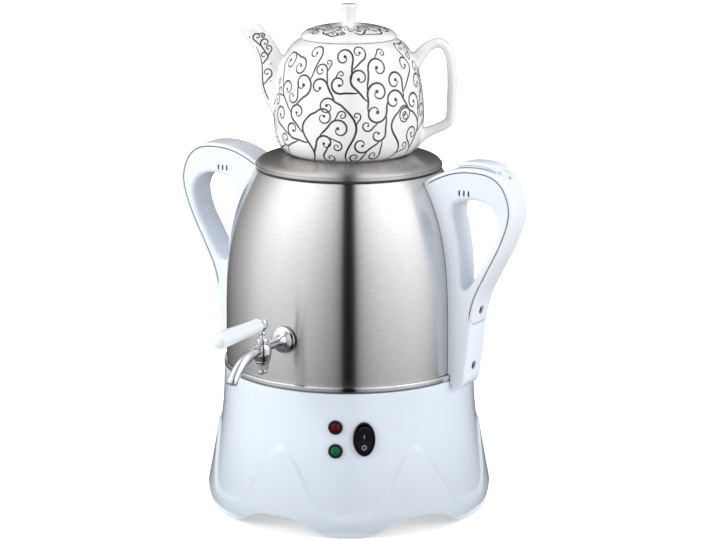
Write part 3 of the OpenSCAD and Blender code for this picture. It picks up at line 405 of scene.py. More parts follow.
plastic("base_white", (0.70, 0.775, 0.865), 0.16, 0.012, 700, 6e-6, Coat_Weight=0.8, Coat_Roughness=0.03)
plastic("handle_white", (0.775, 0.835, 0.915), 0.24, 0.012, 700, 1.2e-5, Coat_Weight=0.3, Coat_Roughness=0.1)
plastic("cover_white", (0.77, 0.81, 0.87), 0.22, 0.012, 700, 1.2e-5, Coat_Weight=0.3, Coat_Roughness=0.1)
plastic("lever_white", (0.78, 0.82, 0.85), 0.2, 0.012, 700, 1e-5, Coat_Weight=0.4)
plastic("porcelain", (0.815, 0.82, 0.83), 0.1, 0.008, 60, 6e-5, Coat_Weight=0.6, Coat_Roughness=0.03)
plastic("plate_grey", (0.6, 0.62, 0.66), 0.55, 0.03, 400, 5e-5)
plastic("pad_rubber", (0.045, 0.045, 0.048), 0.75, 0.15, 500, 6e-5)
plastic("gasket_rubber", (0.018, 0.018, 0.02), 0.5, 0.15, 500, 4e-5)
plastic("washer_rubber", (0.02, 0.02, 0.02), 0.6, 0.15)
plastic("thermostat_black", (0.03, 0.03, 0.033), 0.5, 0.1)
plastic("inlet_black", (0.02, 0.02, 0.022), 0.45, 0.12)
plastic("switch_black", (0.008, 0.008, 0.01), 0.3, 0.1, Specular_IOR_Level=0.3)
plastic("rocker_black", (0.007, 0.006, 0.009), 0.32, 0.1, Specular_IOR_Level=0.25)
plastic("bezel_dark", (0.01, 0.008, 0.009), 0.25, 0.1, Specular_IOR_Level=0.35)
# painted shade: the dark colour of the pieces set in the handles' slots, screw wells and seam grooves
plastic("recess_painted_shade", (0.035, 0.037, 0.042), 0.6, 0.1)
plastic("mark_grey", (0.3, 0.31, 0.33), 0.4, 0.05)
plastic("block_cream", (0.7, 0.66, 0.52), 0.5, 0.04)
plastic("lead_brown", (0.13, 0.03, 0.015), 0.45, 0.15)
metal("bolt_steel", (0.55, 0.55, 0.56), 0.32)
metal("washer_steel", (0.5, 0.5, 0.51), 0.3)
metal("ring_chrome", (0.72, 0.73, 0.75), 0.12, depth=4e-6)
metal("tap_chrome", (0.74, 0.75, 0.77), 0.09, vary=0.03, depth=6e-6)
metal("heater_aluminium", (0.66, 0.66, 0.68), 0.45, 700, depth=8e-5)
metal("element_steel", (0.2, 0.18, 0.16), 0.5, 250, 0.3)
metal("blade_brass", (0.75, 0.55, 0.22), 0.28)
brushed("tank_steel", (0.66, 0.657, 0.655), 0.265, 1000, 0.07, 1.0)
brushed("inside_steel", (0.6, 0.6, 0.59), 0.42, 700, 0.06, 0.5)
brushed("floor_steel", (0.6, 0.6, 0.59), 0.4, 500, 0.05, 0.4, True)
# painted shade: the lid's steel is the tank's steel made darker, to darken its reflections
brushed("lid_steel", (0.47, 0.456, 0.445), 0.35, 900, 0.08, 0.85, True)
lens_glass("lens_red", (0.05, 0.001, 0.002), (0.16, 0.004, 0.006))
lens_glass("lens_green", (0.001, 0.07, 0.025), (0.01, 0.22, 0.085))
# painted shade: the base's white is made darker towards its foot, down to 0.86 of itself at 20 mm up
paint_foot_shade(M["base_white"], 0.02, 0.1, 0.86)
ink = Mat("ornament", (0.03, 0.03, 0.032), 0.3, Coat_Weight=0.2)
ink.tint(ink.noise(45), (0.006, 0.006, 0.007), (0.075, 0.075, 0.08), 0.38, 0.75)
ink.roughen(ink.noise(200, 2), 0.22, 0.4)


def finish_piece(ob, body, slot, *nodes, look=None):
    """gives a piece its material, look's where given and else slot's, and its body, and hides the CAD nodes
    that it stands for
    """
    ob.data.materials.clear()
    ob.data.materials.append(M[look or slot])
    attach(ob, body)
    if nodes:
        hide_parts(*nodes)
    return ob


# ---------------------------------------------------------------- base
def base_place(az, x, z, lift=0.0):
    """the place of a fitting on the base's side, with Z pointing out of it and x measured along it"""
    turn = math.radians(az) + math.asin(x / base_edge(z))
    slope = math.atan(base_edge(z - 0.5) - base_edge(z + 0.5))
    return (Matrix.Rotation(turn, 4, "Z") @ Matrix.Translation((0, -base_edge(z), z))
            @ Matrix.Rotation(math.pi / 2 - slope, 4, "X") @ Matrix.Translation((0, 0, lift)))


def oval(w, l, z):
    return [Vector((w / 2 * c, l / 2 * s, z)) for c, s in spokes(96)]


def oval_loft(name, place, rows, angle=32):
    return loft(name, [[place @ p for p in oval(w, l, z)] for w, l, z in rows], angle=angle)


def base_column(a):
    """the shell's upright section at angle a: foot, raised wave, side, top and inside"""
    w = (1 - math.cos(6 * a)) / 2
    wave = WAVE_LOW + (WAVE_HIGH - WAVE_LOW) * w ** 1.8
    low = 1 + 14.5 * smooth((w - 0.05) / 0.95)
    band = WAVE_SOFT + 0.6

    def out(z):
        return base_edge(z) + WAVE_STEP * smooth((wave - z) / WAVE_SOFT / 2 + 0.5) - curl(z)

    def inn(z):
        return base_edge(z) - BASE_T - curl(z)

    rows = [(inn(20), 20.0), (98.0, 20.0), (98.0, 17.0), (inn(17), 17.0)]
    rows += [(inn(z), z) for z in steps(17, low + 1, 5, 1)]
    rows += [(inn(low) + 0.35, low + 0.3), ((inn(low) + out(low)) / 2, low)]
    rows.append((out(low + 0.5) - 0.7, low + 0.15))
    rows += [(out(z), z) for z in steps(low + 1.0, wave - band, 14)]
    rows += [(out(z), z) for z in (wave + band * k / 8 for k in range(-7, 9))]
    rows += [(out(z), z) for z in steps(wave + band, BASE_H - 1.2, 26, 1)]
    top = out(BASE_H)
    rows += [(top - 0.12, BASE_H - 0.5), (top - 0.5, BASE_H - 0.12), (top - 1.2, BASE_H),
             (96.0, BASE_H), (96.0, BASE_H - 2.5), (inn(BASE_H - 2.5), BASE_H - 2.5)]
    return rows + [(inn(z), z) for z in (105, 90, 75, 60, 45, 32)]


def base_shell(n=720):
    angles = steps(0, TAU, n)[:-1]
    rings = [[(r * math.cos(a), r * math.sin(a), z) for r, z in base_column(a)] for a in angles]
    ob = loft("base_shell_fine", rings, closed=True, angle=40)
    cuts = [oval_loft("c", base_place(PANEL_AZ, SWITCH_X, PANEL_Z), [(17.6, 27.5, -20), (17.6, 27.5, 12)])]
    for s in (-1, 1):
        p = base_place(PANEL_AZ, LAMP_X, PANEL_Z + s * LAMP_GAP)
        cuts.append(rod("c", p @ Vector((0, 0, -15)), p @ Vector((0, 0, 10)), 5.1))
    hole = boxed("c", (-13.9, -10.4, -12), (13.9, 10.4, 12))
    hole.data.transform(Matrix.Scale(MM, 4) @ base_place(INLET_AZ, 0, INLET_Z) @ Matrix.Scale(1 / MM, 4))
    return carve(ob, cuts + [hole], angle=40)


finish_piece(base_shell(), MAIN, "base_white", "base_shell")
ring = fillet([(104.1, 119.6), (105.1, 119.6), (105.15, 120.4), (106.15, 120.7), (106.15, 123.9),
               (105.7, 124.85), (105.1, 124.85), (104.6, 123.4), (104.1, 123.4)],
              [0, 0.1, 0.1, 0.6, 0.9, 0.3, 0.2, 0.2, 0])
finish_piece(revolve("trim_ring_fine", ring + [ring[0]], 256), MAIN, "ring_chrome", "trim_ring")

# ---------------------------------------------------------------- tank
outer = [(tank_edge(z), z) for z in np.linspace(BASE_H + 0.1, MOUTH_Z - 0.5, 140)]
lip = [(MOUTH_R - 0.1, MOUTH_Z - 0.12), (MOUTH_R - 0.5, MOUTH_Z), (MOUTH_R - 0.95, MOUTH_Z - 0.2)]
inner = [(r - WALL, z) for r, z in reversed(outer)]
tank = revolve("tank_wall_fine", outer + lip + inner + [outer[0]], 288)
carve(tank, [rod("c", (0, -80, TAP_Z), (0, -120, TAP_Z), 6.2)])
finish_piece(tank, MAIN, "tank_steel", "tank_wall")

# ---------------------------------------------------------------- lid
LID_Z = MOUTH_Z + 1.6
RIM_R, RIM_Z = MOUTH_R + 1, LID_Z + 2.2
SEAT_R, SEAT_Z = 50.5, RIM_Z + 6.8
crown = arc(47.5, RIM_Z, RIM_R - 48.5, 8.6, [math.radians(a) for a in range(3, 79, 3)])
rim = [(RIM_R - 1.2, LID_Z), (RIM_R, LID_Z), (RIM_R, RIM_Z), (RIM_R - 1.1, RIM_Z + 0.05)]
rim = fillet(rim, [0, 0.5, 0.8, 0], 4)
edge = [(2.7, 1.62), (1.8, 1.75), (0.9, 1.45), (0.3, 0.9), (0, 0.25), (-0.4, 0)]
edge = [(SEAT_R + r, SEAT_Z + z) for r, z in edge]
under = [(SEAT_R - 1, SEAT_Z - 1), (SEAT_R + 1.1, SEAT_Z + 0.5)]
under += [(r - WALL, z - WALL) for r, z in reversed(crown)] + [(RIM_R - 1.9, LID_Z + 0.9)]
seat = [(0, SEAT_Z - 1), (0, SEAT_Z)]
lid = revolve("lid_fine", seat + edge[::-1] + crown[::-1] + rim[::-1] + under[::-1] + seat[:1], 288)
vents = [(25.25 * math.cos(i * math.pi / 3), 25.25 * math.sin(i * math.pi / 3)) for i in range(6)]
carve(lid, [rod("c", (x, y, SEAT_Z - 4), (x, y, SEAT_Z + 4), 3.0, 32) for x, y in vents])
finish_piece(lid, "lid", "lid_steel", "lid_dome")

# ---------------------------------------------------------------- handles
LOW = BASE_H - 6.5
HIGH = MOUTH_Z + 10 - LOW
# pairs of points, on the outer edge and on the hand opening, in percent of the handle's reach and height
ROWS = [
    ((-80, 94.1), (3.6, 79)), ((-11.4, 98.8), (6.3, 83.8)), ((28, 100.7), (23, 86.2)),
    ((64, 99.7), (46.5, 86.5)), ((87.5, 94.8), (64, 84.6)), ((99.5, 86), (75, 80)), ((98, 77.3), (76.4, 75)),
    ((84, 65.7), (69.6, 67.6)), ((62.5, 53), (57, 60.5)), ((45.5, 42.4), (44.6, 53.8)),
    ((37.5, 33), (34.8, 49.2)), ((32.5, 21), (28, 46.8)), ((28, 10.3), (25, 46.05)),
    ((24, 3.2), (23.2, 45.8)), ((12.5, 0), (21.4, 45.7)), ((1, 2.2), (19.8, 46)), ((-16, 9), (18.2, 46.8)),
    ((-20.6, 28), (16.8, 48.6)),
    ((-25.1, 47), (16, 53)), ((-36.6, 66), (14.3, 61)), ((-64, 81), (10.7, 68.6)), ((-93.4, 90.6), (7.1, 74))]
FINE = 12  # steps from one row to the next; the part's source has three
PART = FINE // 3


def handle_at(p):
    return (TANK_R + (HANDLE_REACH if p[0] > 0 else TANK_R - MOUTH_R) * p[0] / 100, LOW + HIGH * p[1] / 100)


def normal(line, i):
    v = line[(i + 1) % len(line)] - line[(i - 1) % len(line)]
    return unit(np.array([-v[1], v[0]]))


def between(line, t):
    i = math.floor(t)
    f = t - i
    return line[i % len(line)] * (1 - f) + line[(i + 1) % len(line)] * f


def quarter(r, parts=6):
    """a rounded edge of the handle: (depth, distance from the middle)"""
    return [(r * (1 - math.cos(a)), HANDLE_T / 2 - r + r * math.sin(a)) for a in steps(0, math.pi / 2, parts)]


OUT, HOLE = (catmull([handle_at(r[k]) for r in ROWS], FINE, True) for k in (0, 1))
NORMALS = [normal(OUT, i) for i in range(len(OUT))]
COVER_END = 31 * PART - 1
END_ROUND, END_STEP = 7.0, float(np.linalg.norm(OUT[COVER_END] - OUT[COVER_END - 1]))
TIP, LOW_SCREW = OUT[29 * PART], OUT[36 * PART]
PIN = OUT[11 * PART] - NORMALS[11 * PART] * 4.6
SLOTS_X, SLOTS_Z = (112.4, 116.6, 120.8), 278.8


def upright(points):
    return [(p[0], w, p[1]) for p, w in points]


def section(p, n, side):
    """a section at p on the edge: side gives (depth, distance from the middle) for one half of it"""
    return upright([(p - n * a, w) for a, w in side] + [(p - n * a, -w) for a, w in side[::-1]])


def cover_stations(extra=0):
    """places on the edge, from the lid down to the cover's end: step, point, normal, distance to the end"""
    out = [(t, (COVER_END - t) * END_STEP) for t in range(-7, COVER_END - 4)]
    for k in range(11):
        d = END_ROUND * (1 - math.sin(math.pi / 2 * k / 10))
        out.append((COVER_END - d / END_STEP, d))
    if extra:
        out.append((COVER_END + extra / END_STEP, 0.0))
    return [(t, between(OUT, t), unit(between(NORMALS, t)), d) for t, d in out]


def cover_half(d):
    if d >= END_ROUND:
        return HANDLE_T / 2
    return HANDLE_T / 2 - END_ROUND + math.sqrt(max(0.0, END_ROUND ** 2 - (END_ROUND - d) ** 2))


def handle_body():
    rings = []
    e, g = quarter(2.6), quarter(GRIP)
    for i, n in enumerate(NORMALS):
        m = normal(HOLE, i)
        pts = [(OUT[i] - n * d, -w) for d, w in e[::-1]] + [(OUT[i] - n * d, w) for d, w in e]
        pts += [(HOLE[i] + m * d, w) for d, w in g[::-1]] + [(HOLE[i] + m * d, -w) for d, w in g]
        rings.append(upright(pts))
    return loft("handle_right_fine", rings, closed=True, angle=38)


def cover_bed():
    """what is cut from the handle's body to let the cover in, with a groove along both seams"""
    rings = []
    low = COVER_T + 0.15
    for _, p, n, d in cover_stations(0.5):
        half = cover_half(d) + 0.5 if d < END_ROUND else 19.0
        floor = low + 0.8 * min(1.0, max(0.0, (d - END_ROUND) / 4))
        edge = min(half, 15.02)
        rings.append(section(p, n, [(low, edge - 1.0), (floor, edge), (floor, half), (-6, half)]))
    return loft("c", rings)


def handle_cover():
    rings = []
    soft, half = 1.5, HANDLE_T / 2
    for _, p, n, d in cover_stations():
        less = half - cover_half(d)
        drop = soft - math.sqrt(soft ** 2 - (soft - min(d, soft)) ** 2)
        side = [(COVER_T, half - 1.0), (COVER_T - 0.2, half - 0.4), (COVER_T - 0.75, half)]
        side += quarter(2.2, 7)[::-1]
        rings.append(section(p, n, [(a + drop * (1 - a / COVER_T), w - less) for a, w in side]))
    return loft("handle_cover_right_fine", rings, angle=38)


def seam_shade_strip(side):
    """a dark strip at the bottom of the groove between cover and body: painted shade"""
    sect = [(2.75, 13.9), (2.75, 14.55), (3.75, 14.55), (3.75, 13.9)]
    return loft("c", [upright((p - n * a, side * w) for a, w in sect) for t, p, n, d in cover_stations()
                      if t >= 0 and d >= END_ROUND - 0.1])


def body_space():
    """the tank, base and lid, which the handles stand clear of"""
    prof = [(0, 106)] + [(base_edge(z) + 0.3, z) for z in np.linspace(106, 119.5, 8)]
    prof += [(106.5, 119.6), (106.5, 125.1)]
    prof += [(tank_edge(z) + 0.3, z) for z in np.linspace(125.2, MOUTH_Z, 60)]
    return revolve("c", prof + [(RIM_R + 2, MOUTH_Z), (RIM_R + 2, MOUTH_Z + 30), (0, MOUTH_Z + 30)], 288)


def screw_wells():
    return [rod("c", (p[0] - 4.5, 0, p[1]), (p[0] + 20, 0, p[1]), 3.8) for p in (TIP, LOW_SCREW)]


def slots():
    out = []
    for x in SLOTS_X:
        for s in (-1, 1):
            ring = [(x + 0.85 * math.cos(a), SLOTS_Z + math.copysign(1.6, math.sin(a)) + 0.85 * math.sin(a))
                    for a in (TAU * (k + 0.5) / 16 for k in range(16))]
            out.append(loft("c", [[(px, s * 15 + y, pz) for px, pz in ring] for y in (-1.5, 1.5)]))
    return out


body_r, cover_r = handle_body(), handle_cover()
carve(body_r, [body_space()] + screw_wells() + slots(), angle=38)
carve(body_r, [cover_bed()], angle=38, own=True)
carve(cover_r, [body_space()] + screw_wells(), angle=38)
body_l, cover_l = mirrored(body_r, "handle_left_fine"), mirrored(cover_r, "handle_cover_left_fine")
for ob in (body_r, cover_r):  # the latch's pocket is on the right alone
    carve(ob, [boxed("c", (PIN[0] - 5.7, -4.3, PIN[1] - 3.9), (PIN[0] + 4.3, 4.3, PIN[1] + 26))], angle=38)
finish_piece(body_r, MAIN, "handle_white", "handle_right")
finish_piece(body_l, MAIN, "handle_white", "handle_left")
finish_piece(cover_r, MAIN, "cover_white", "handle_cover_right")
finish_piece(cover_l, MAIN, "cover_white", "handle_cover_left")

# painted shade: dark pieces at the bottoms of the slots, of the screw wells and of the seams, where only
# shade falls
shade_pieces = []
for x in SLOTS_X:
    for s in (-1, 1):
        y0, y1 = sorted((s * 13.55, s * 14.5))
        shade_pieces.append(boxed("c", (x - 0.83, y0, SLOTS_Z - 2.1), (x + 0.83, y1, SLOTS_Z + 2.1)))
for p in (TIP, LOW_SCREW):
    place = Matrix.Translation((p[0] - 4.45, 0, p[1])) @ Matrix.Rotation(math.pi / 2, 4, "Y")
    shade_pieces.append(revolve("c", [(3.2, 0), (3.75, 0), (3.75, 2.4), (3.2, 2.4), (3.2, 0)], 48, place))
shade_r = join("handle_painted_shade_right", shade_pieces + [seam_shade_strip(-1), seam_shade_strip(1)])
finish_piece(mirrored(shade_r, "handle_painted_shade_left"), MAIN, "handle_white", look="recess_painted_shade")
finish_piece(shade_r, MAIN, "handle_white", look="recess_painted_shade")


# ---------------------------------------------------------------- thumb latch
def latch():
    first, last = 4 * PART, 10 * PART
    rise = [3.2, 3.9, 4.2, 4.4, 4.4, 4.2, 3.6]
    rings = []
    for i in range(first, last + 1):
        if OUT[i][0] > PIN[0] - 3:
            break
        t = (i - first) / PART
        k = min(int(t), 5)
        h = rise[k] + (rise[k + 1] - rise[k]) * smooth(t - k)
        half = 9.5 - 1.6 * (1 - min(1, (i - first) / 3)) ** 2
        if i == first:
            h -= 0.7
        g = h * 0.36
        side = [(0.5, half - 0.9), (0.75, half - 0.45), (g, half - 0.35), (g + 0.1, half - 1.6),
                (g + 0.8, half - 1.6), (g + 0.85, half - 0.1)]
        side += [(0.5 + h - 1.3 + 1.3 * math.sin(a), half - 1.3 + 1.3 * math.cos(a))
                 for a in steps(0, math.pi / 2, 5)]
        rings.append(section(OUT[i], NORMALS[i], [(-u, w) for u, w in side]))
    pad = loft("c", rings, angle=38)
    px, pz, end = PIN[0], PIN[1], PIN[0] - 3
    web = [(px - 3.1, pz + 0.8), (px + 2, pz + 1.5), (px + 1, pz + 5), (end, pz + 9), (end - 2, pz + 7)]
    web = fillet(web, [0.8] * 5, 4, True)
    knuckle = loft("c", [[(x, y, z) for x, z in web] for y in (-4, 4)])
    return join("thumb_latch_fine", [pad, knuckle, rod("c", (px, -4, pz), (px, 4, pz), 3.3)])


finish_piece(latch(), "latch", "handle_white", "thumb_latch")

# ---------------------------------------------------------------- tap
# the tap is drawn along +X and turned to face -Y
TAP = Matrix.Rotation(-math.pi / 2, 4, "Z")
PLUG = TAP @ Matrix.Translation((TAP_X, 0, 0))


def along_x(x, z):
    return TAP @ Matrix.Translation((x, 0, z)) @ Matrix.Rotation(math.pi / 2, 4, "Y")


def tap_body():
    flange = fillet([(0, 0), (11, 0), (11, 1.6), (9.4, 2.9), (5.6, 4.2), (3.9, 7.0), (3.7, 10), (3.7, 33)],
                    [0, 0.2, 0.6, 1.0, 1.4, 2.0, 1.0, 0], 6)
    parts = [revolve("c", flange, 96, along_x(105.6, TAP_Z))]
    low, high, r = 150.0, 165.5, 3.75
    barrel = catmull([(r + 1.3, low), (r + 2.1, low + 0.7), (r + 2.3, low + 2.2), (r + 2.9, low + 4.2),
                      (r + 3.5, low + 7), (r + 3.55, TAP_Z - 2), (r + 3.3, TAP_Z + 1), (r + 2.3, high - 0.9),
                      (r + 1.6, high)], 5)
    parts.append(revolve("c", [(0, low)] + [tuple(p) for p in barrel] + [(0, high)], 96, PLUG))
    bend = 46
    path = [np.array((TAP_X + 9 * k / 4, 0, TAP_Z)) for k in range(5)]
    path += [np.array((TAP_X + 9 + bend * math.sin(t), 0, TAP_Z - bend + bend * math.cos(t)))
             for t in np.linspace(0, math.radians(54), 33)[1:]]
    rad = [3.7 + 0.9 * smooth(k / 8) for k in range(len(path))]
    rad[-1] -= 0.45
    rad[-2] -= 0.1
    rings = oval_rings(path, rad, rad, 48)
    end, t = path[-1], travel(path)[-1]
    for r_in, back in ((3.55, -0.15), (3.3, 0.4), (3.2, 10)):  # the spout's mouth, from its lip inward
        rings.append(oval_rings([end - t * (back + 0.01), end - t * back], [r_in] * 2, [r_in] * 2, 48)[1])
    parts.append(loft("c", [[TAP @ Vector(p) for p in ring] for ring in rings], angle=40))
    shank = rod("c", TAP @ Vector((88, 0, TAP_Z)), TAP @ Vector((106, 0, TAP_Z)), 5.9, 64)
    return join("tap_body_fine", parts + [shank])


def tap_plug():
    low = 165.8
    p = [(0, -9), (3.6, -9), (3.6, 0), (4.5, 0), (5.05, 0.8), (5.05, 3.1), (4.4, 4.3), (2.4, 5.0),
         (2.0, 6.6), (2.9, 8.3), (2.9, 8.7), (2.0, 10.2), (2.3, 11.9), (4.1, 12.7), (4.4, 13.8),
         (4.4, 18.0), (3.3, 20.0), (0, 20.4)]
    p = fillet([(r, low + z) for r, z in p],
               [0, 0, 0, 0.3, 0.4, 0.5, 0.5, 0.8, 0.9, 0.5, 0.5, 0.9, 0.7, 0.5, 0.5, 0.9, 1.2, 0])
    return revolve("tap_plug_fine", p, 96, PLUG)


def plug_nut():
    top, r = 148.55, 8.6 / math.sqrt(3)
    hexa = [[PLUG @ Vector(((r - d) * math.cos(k * math.pi / 3), (r - d) * math.sin(k * math.pi / 3), z))
             for k in range(6)] for d, z in ((0.45, top - 4), (0, top - 3.7), (0, top - 0.3), (0.45, top))]
    cap = [(0, 8.3), (2.8, 8.1), (3.7, 7.0), (3.8, 5.4), (3.5, 4), (0, 4)]
    cap = fillet([(r, top - down) for r, down in cap], [0, 0.6, 0.8, 0.6, 0.3, 0])
    return join("plug_nut_fine", [loft("c", hexa, angle=20), revolve("c", cap, 64, PLUG)])


def lever_grip():
    line = [(0, 0), (4.4, 0), (5.4, 0.5), (5.7, 1.5), (5.75, 3.0), (5.4, 3.7), (5.75, 4.4), (5.9, 10),
            (6.2, 26), (6.7, 42), (6.9, 53)]
    line = fillet(line, [0, 0.4, 0.6, 0.6, 0.3, 0.3, 0.3, 3, 4, 4, 0], 4)
    line += arc(0, 54.0, 6.9, 7.2, np.linspace(0, math.pi / 2, 16))
    line[-1] = (0, line[-1][1])
    return revolve("lever_grip_fine", line, 96, along_x(144, 182))


finish_piece(tap_body(), MAIN, "tap_chrome", "tap_body")
finish_piece(tap_plug(), "tap_key", "tap_chrome", "tap_plug")
finish_piece(plug_nut(), "tap_key", "tap_chrome", "plug_nut")
finish_piece(lever_grip(), "tap_key", "lever_white", "lever_grip")

# ---------------------------------------------------------------- switch and lamps
SWITCH_W, SWITCH_L, TILT = 18.4, 28.3, math.radians(7)
ROCKER_W, ROCKER_L, ROCKER_TOP = SWITCH_W - 2.8 - 0.5, SWITCH_L - 2.8 - 2.2, 5.3
AT = base_place(PANEL_AZ, SWITCH_X, PANEL_Z, 0.5)
ROCKER = AT @ Matrix.Translation((0, 0, -4.5)) @ Matrix.Rotation(TILT, 4, "X")
bezel = [(1.2, -4.0), (0, -1.5), (0, 0.9), (0.35, 1.45), (1.1, 1.8), (2.1, 1.8), (2.6, 1.55), (2.8, 1.1),
         (2.8, -12)]
bezel = [(SWITCH_W - less, SWITCH_L - less, z) for less, z in bezel]
finish_piece(oval_loft("switch_bezel_fine", AT, bezel, 50), MAIN, "switch_black", "switch_housing")


def rocker_top(y):
    """height of the rocker's bent top, y along it from its middle"""
    return ROCKER_TOP + math.tan(TILT) * ROCKER_L / 2 * math.sqrt((y / (ROCKER_L / 2)) ** 2 + 0.004)


def rocker():
    def top(p, drop):
        return ROCKER @ Vector((p.x, p.y, rocker_top(p.y) - drop - 0.12 * (1 - (2 * p.x / ROCKER_W) ** 2)))

    rings = [(1.0, 7.5), (1.0, 0.7), (0.985, 0.25)] + [(k, 0.0) for k in (0.95, 0.8, 0.6, 0.4, 0.2, 0.01)]
    rings = [[top(p, drop) for p in oval(ROCKER_W * k, ROCKER_L * k, 0)] for k, drop in rings]
    return loft("switch_rocker_fine", rings, angle=50)


finish_piece(rocker(), "rocker", "rocker_black", "switch_rocker")


def mark(name, outer, inner):
    """a thin raised ring or bar on the rocker"""
    verts, faces, m = [], [], len(outer)
    for ring, up in ((outer, -0.1), (outer, 0.0), (inner, 0.0), (inner, -0.1)):
        verts += [ROCKER @ Vector((x, y, rocker_top(y) - 0.12 + 0.06 + up)) for x, y in ring]
    for i in range(3):
        for j in range(m):
            k = (j + 1) % m
            faces.append((i * m + j, i * m + k, (i + 1) * m + k, (i + 1) * m + j))
    finish_piece(new_mesh(name, verts, faces), "rocker", "rocker_black", look="mark_grey")


def circle(r, y, narrow=1.0):
    return [(narrow * r * c, y + r * s) for c, s in spokes(40)]


mark("switch_mark_off", circle(2.05, -6.2), circle(1.3, -6.2))
mark("switch_mark_on", circle(1.9, 2.9, 0.22), circle(0.4, 2.9, 0.22))

ring = fillet([(4.75, -6), (6.0, -2), (6.0, 0.6), (5.4, 1.55), (4.5, 1.6), (4.15, 1.2), (4.15, -9)],
              [0, 0.3, 0.6, 0.5, 0.3, 0.3, 0])
lens = [(4.1, -3.0), (4.1, 0.7)] + arc(0, 1.0, 4.1, 1.25, np.linspace(0.1, math.pi / 2, 10))
lens[-1] = (0, lens[-1][1])
bezels = []
for s, colour in ((1, "red"), (-1, "green")):
    at = base_place(PANEL_AZ, LAMP_X, PANEL_Z + s * LAMP_GAP, 0.3)
    bezels.append(revolve("c", ring, 96, at))
    finish_piece(revolve("lens_%s_fine" % colour, lens, 72, at), MAIN, "lens_" + colour, "lamp_" + colour)
finish_piece(join("lamp_bezels_fine", bezels), MAIN, "bezel_dark", "lamp_bezels")

# ---------------------------------------------------------------- teapot
POT_R, POT_H, POT_Z = 62.8, 97.4, SEAT_Z + 0.3
POT_TOP = POT_Z + POT_H
SHARES = [(0.78, 0.012), (0.88, 0.05), (0.965, 0.14), (1, 0.3), (0.995, 0.45), (0.96, 0.63), (0.895, 0.8)]
POT_LINE = catmull([(47.5, POT_Z), (48.5, POT_Z + 0.6)] + [(POT_R * a, POT_Z + POT_H * b) for a, b in SHARES]
                   + [(48, POT_TOP - 6), (40, POT_TOP)], 8)
# (distance from the axis, height on a pot 96 mm high), and for the spout its half width
SPOUT = [(40, 27, 15), (50, 42.8, 17), (58, 57.6, 15.5), (63, 70.4, 12.6), (68, 84.2, 10.2), (74.5, 96, 8.6),
         (82.7, 105.1, 8.2)]
STRAP = [(50, 71), (57, 79.5), (64, 87.3), (70, 91.2), (76, 91.9), (82, 86.7), (85.2, 75), (86, 60),
         (85.8, 47), (85.3, 35.5), (84, 27.8), (79.5, 23.9), (74, 21.5), (67, 18.7), (60, 15), (52, 9)]


def pot_path(rows):
    return catmull([(p[0], 0, POT_Z + POT_H * p[1] / 96) for p in rows], 8)


def pot_bowl():
    inside = [p + 3.4 * np.array((-u[1], u[0])) for p, u in zip(POT_LINE, travel(POT_LINE))]
    inside = [tuple(p) for p in inside if POT_Z + 4 < p[1] < POT_TOP - 3]
    prof = [(0, POT_Z + 1.6), (43.5, POT_Z + 1.6), (44.6, POT_Z)] + [tuple(p) for p in POT_LINE]
    prof += [(38.0, POT_TOP + 0.1), (36.8, POT_TOP - 0.6), (36.4, POT_TOP - 3)]
    return revolve("c", prof + inside[::-1] + [(0, POT_Z + 5)], 240)


def pot_spout():
    """the spout, with a mouth cut nearly level, and the mouth's inside"""
    path = pot_path(SPOUT)
    wide = [w[0] for w in catmull([(p[2], 0, 0) for p in SPOUT], 8)]
    rings = oval_rings(path, wide, [w * 0.86 for w in wide], 64)[:-8]

    def mouth(less, down):
        c = path[-1] + np.array((-0.72, 0, -0.9)) * down
        return [c + np.array((-(9.2 - less) * x, (7.05 - less) * y, 2.2 * x)) for x, y in spokes(64)]

    last, top = rings[-1], mouth(0, 0)
    rings += [[p + (q - p) * k / 8 for p, q in zip(last, top)] for k in range(1, 9)]
    rings[-1] = [p + (q - p) * 0.97 for p, q in zip(rings[-2], top)]
    rings += [mouth(0.5, -0.35), mouth(1.5, -0.35), mouth(2.1, 0.5), mouth(2.3, 4.0), mouth(2.6, 10.0)]
    return loft("c", [turn_z(r, SPOUT_AZ) for r in rings])


def pot_strap():
    path = pot_path(STRAP)
    n = len(path) - 1
    grow = [1 + 0.85 * max(0, 1 - i / 28) ** 2 + 0.75 * max(0, 1 - (n - i) / 24) ** 2 for i in range(n + 1)]
    rings = oval_rings(path, [3.9 * g for g in grow], [6.5 * g for g in grow], 48, 0.8)
    return loft("c", [turn_z(r, STRAP_AZ) for r in rings])


def teapot():
    """bowl, spout and strap, melted into one skin"""
    ob = join("teapot_fine", [pot_bowl(), pot_spout(), pot_strap()])
    mod = ob.modifiers.new("r", "REMESH")
    mod.mode, mod.voxel_size, mod.adaptivity = "VOXEL", 0.85 * MM, 0.0
    apply_all(ob)
    mod = ob.modifiers.new("s", "SMOOTH")
    mod.factor, mod.iterations = 0.5, 10
    apply_all(ob)
    return shade(ob, 180)


def teapot_lid():
    low, lip = POT_TOP + 0.3, 40.0
    line = [(0, 5), (30.5, 3), (32.6, -5.6), (33.0, -6), (34.8, -6), (35.4, -5.5), (35.5, 0), (lip - 0.6, 0),
            (lip, 0.5)]
    line = [(r, low + z) for r, z in line]
    line += arc(0, low + 1.2, lip, 10.5, np.radians(np.arange(2, 76, 3)))
    knob = [(9.4, 11.75), (6.9, 12.7), (5.9, 15), (5.9, 18.5), (6.2, 22), (6.9, 25.2), (7.1, 26.9),
            (6.4, 28.0), (4.2, 28.35), (0, 28.4)]
    line += [tuple(p) for p in catmull([(r, low + z) for r, z in knob], 5)]
    ob = revolve("teapot_lid_fine", line, 192, angle=45)
    x, y = 31.6 * math.cos(math.radians(50)), 31.6 * math.sin(math.radians(50))
    return carve(ob, [rod("c", (x, y, low - 2), (x, y, low + 20), 1.2, 24)], angle=45)


pot = finish_piece(teapot(), "teapot", "porcelain",
                   "teapot_body", "teapot_upper", "teapot_floor", "teapot_spout", "teapot_handle")
pot_lid = finish_piece(teapot_lid(), "pot_lid", "porcelain", "teapot_lid")


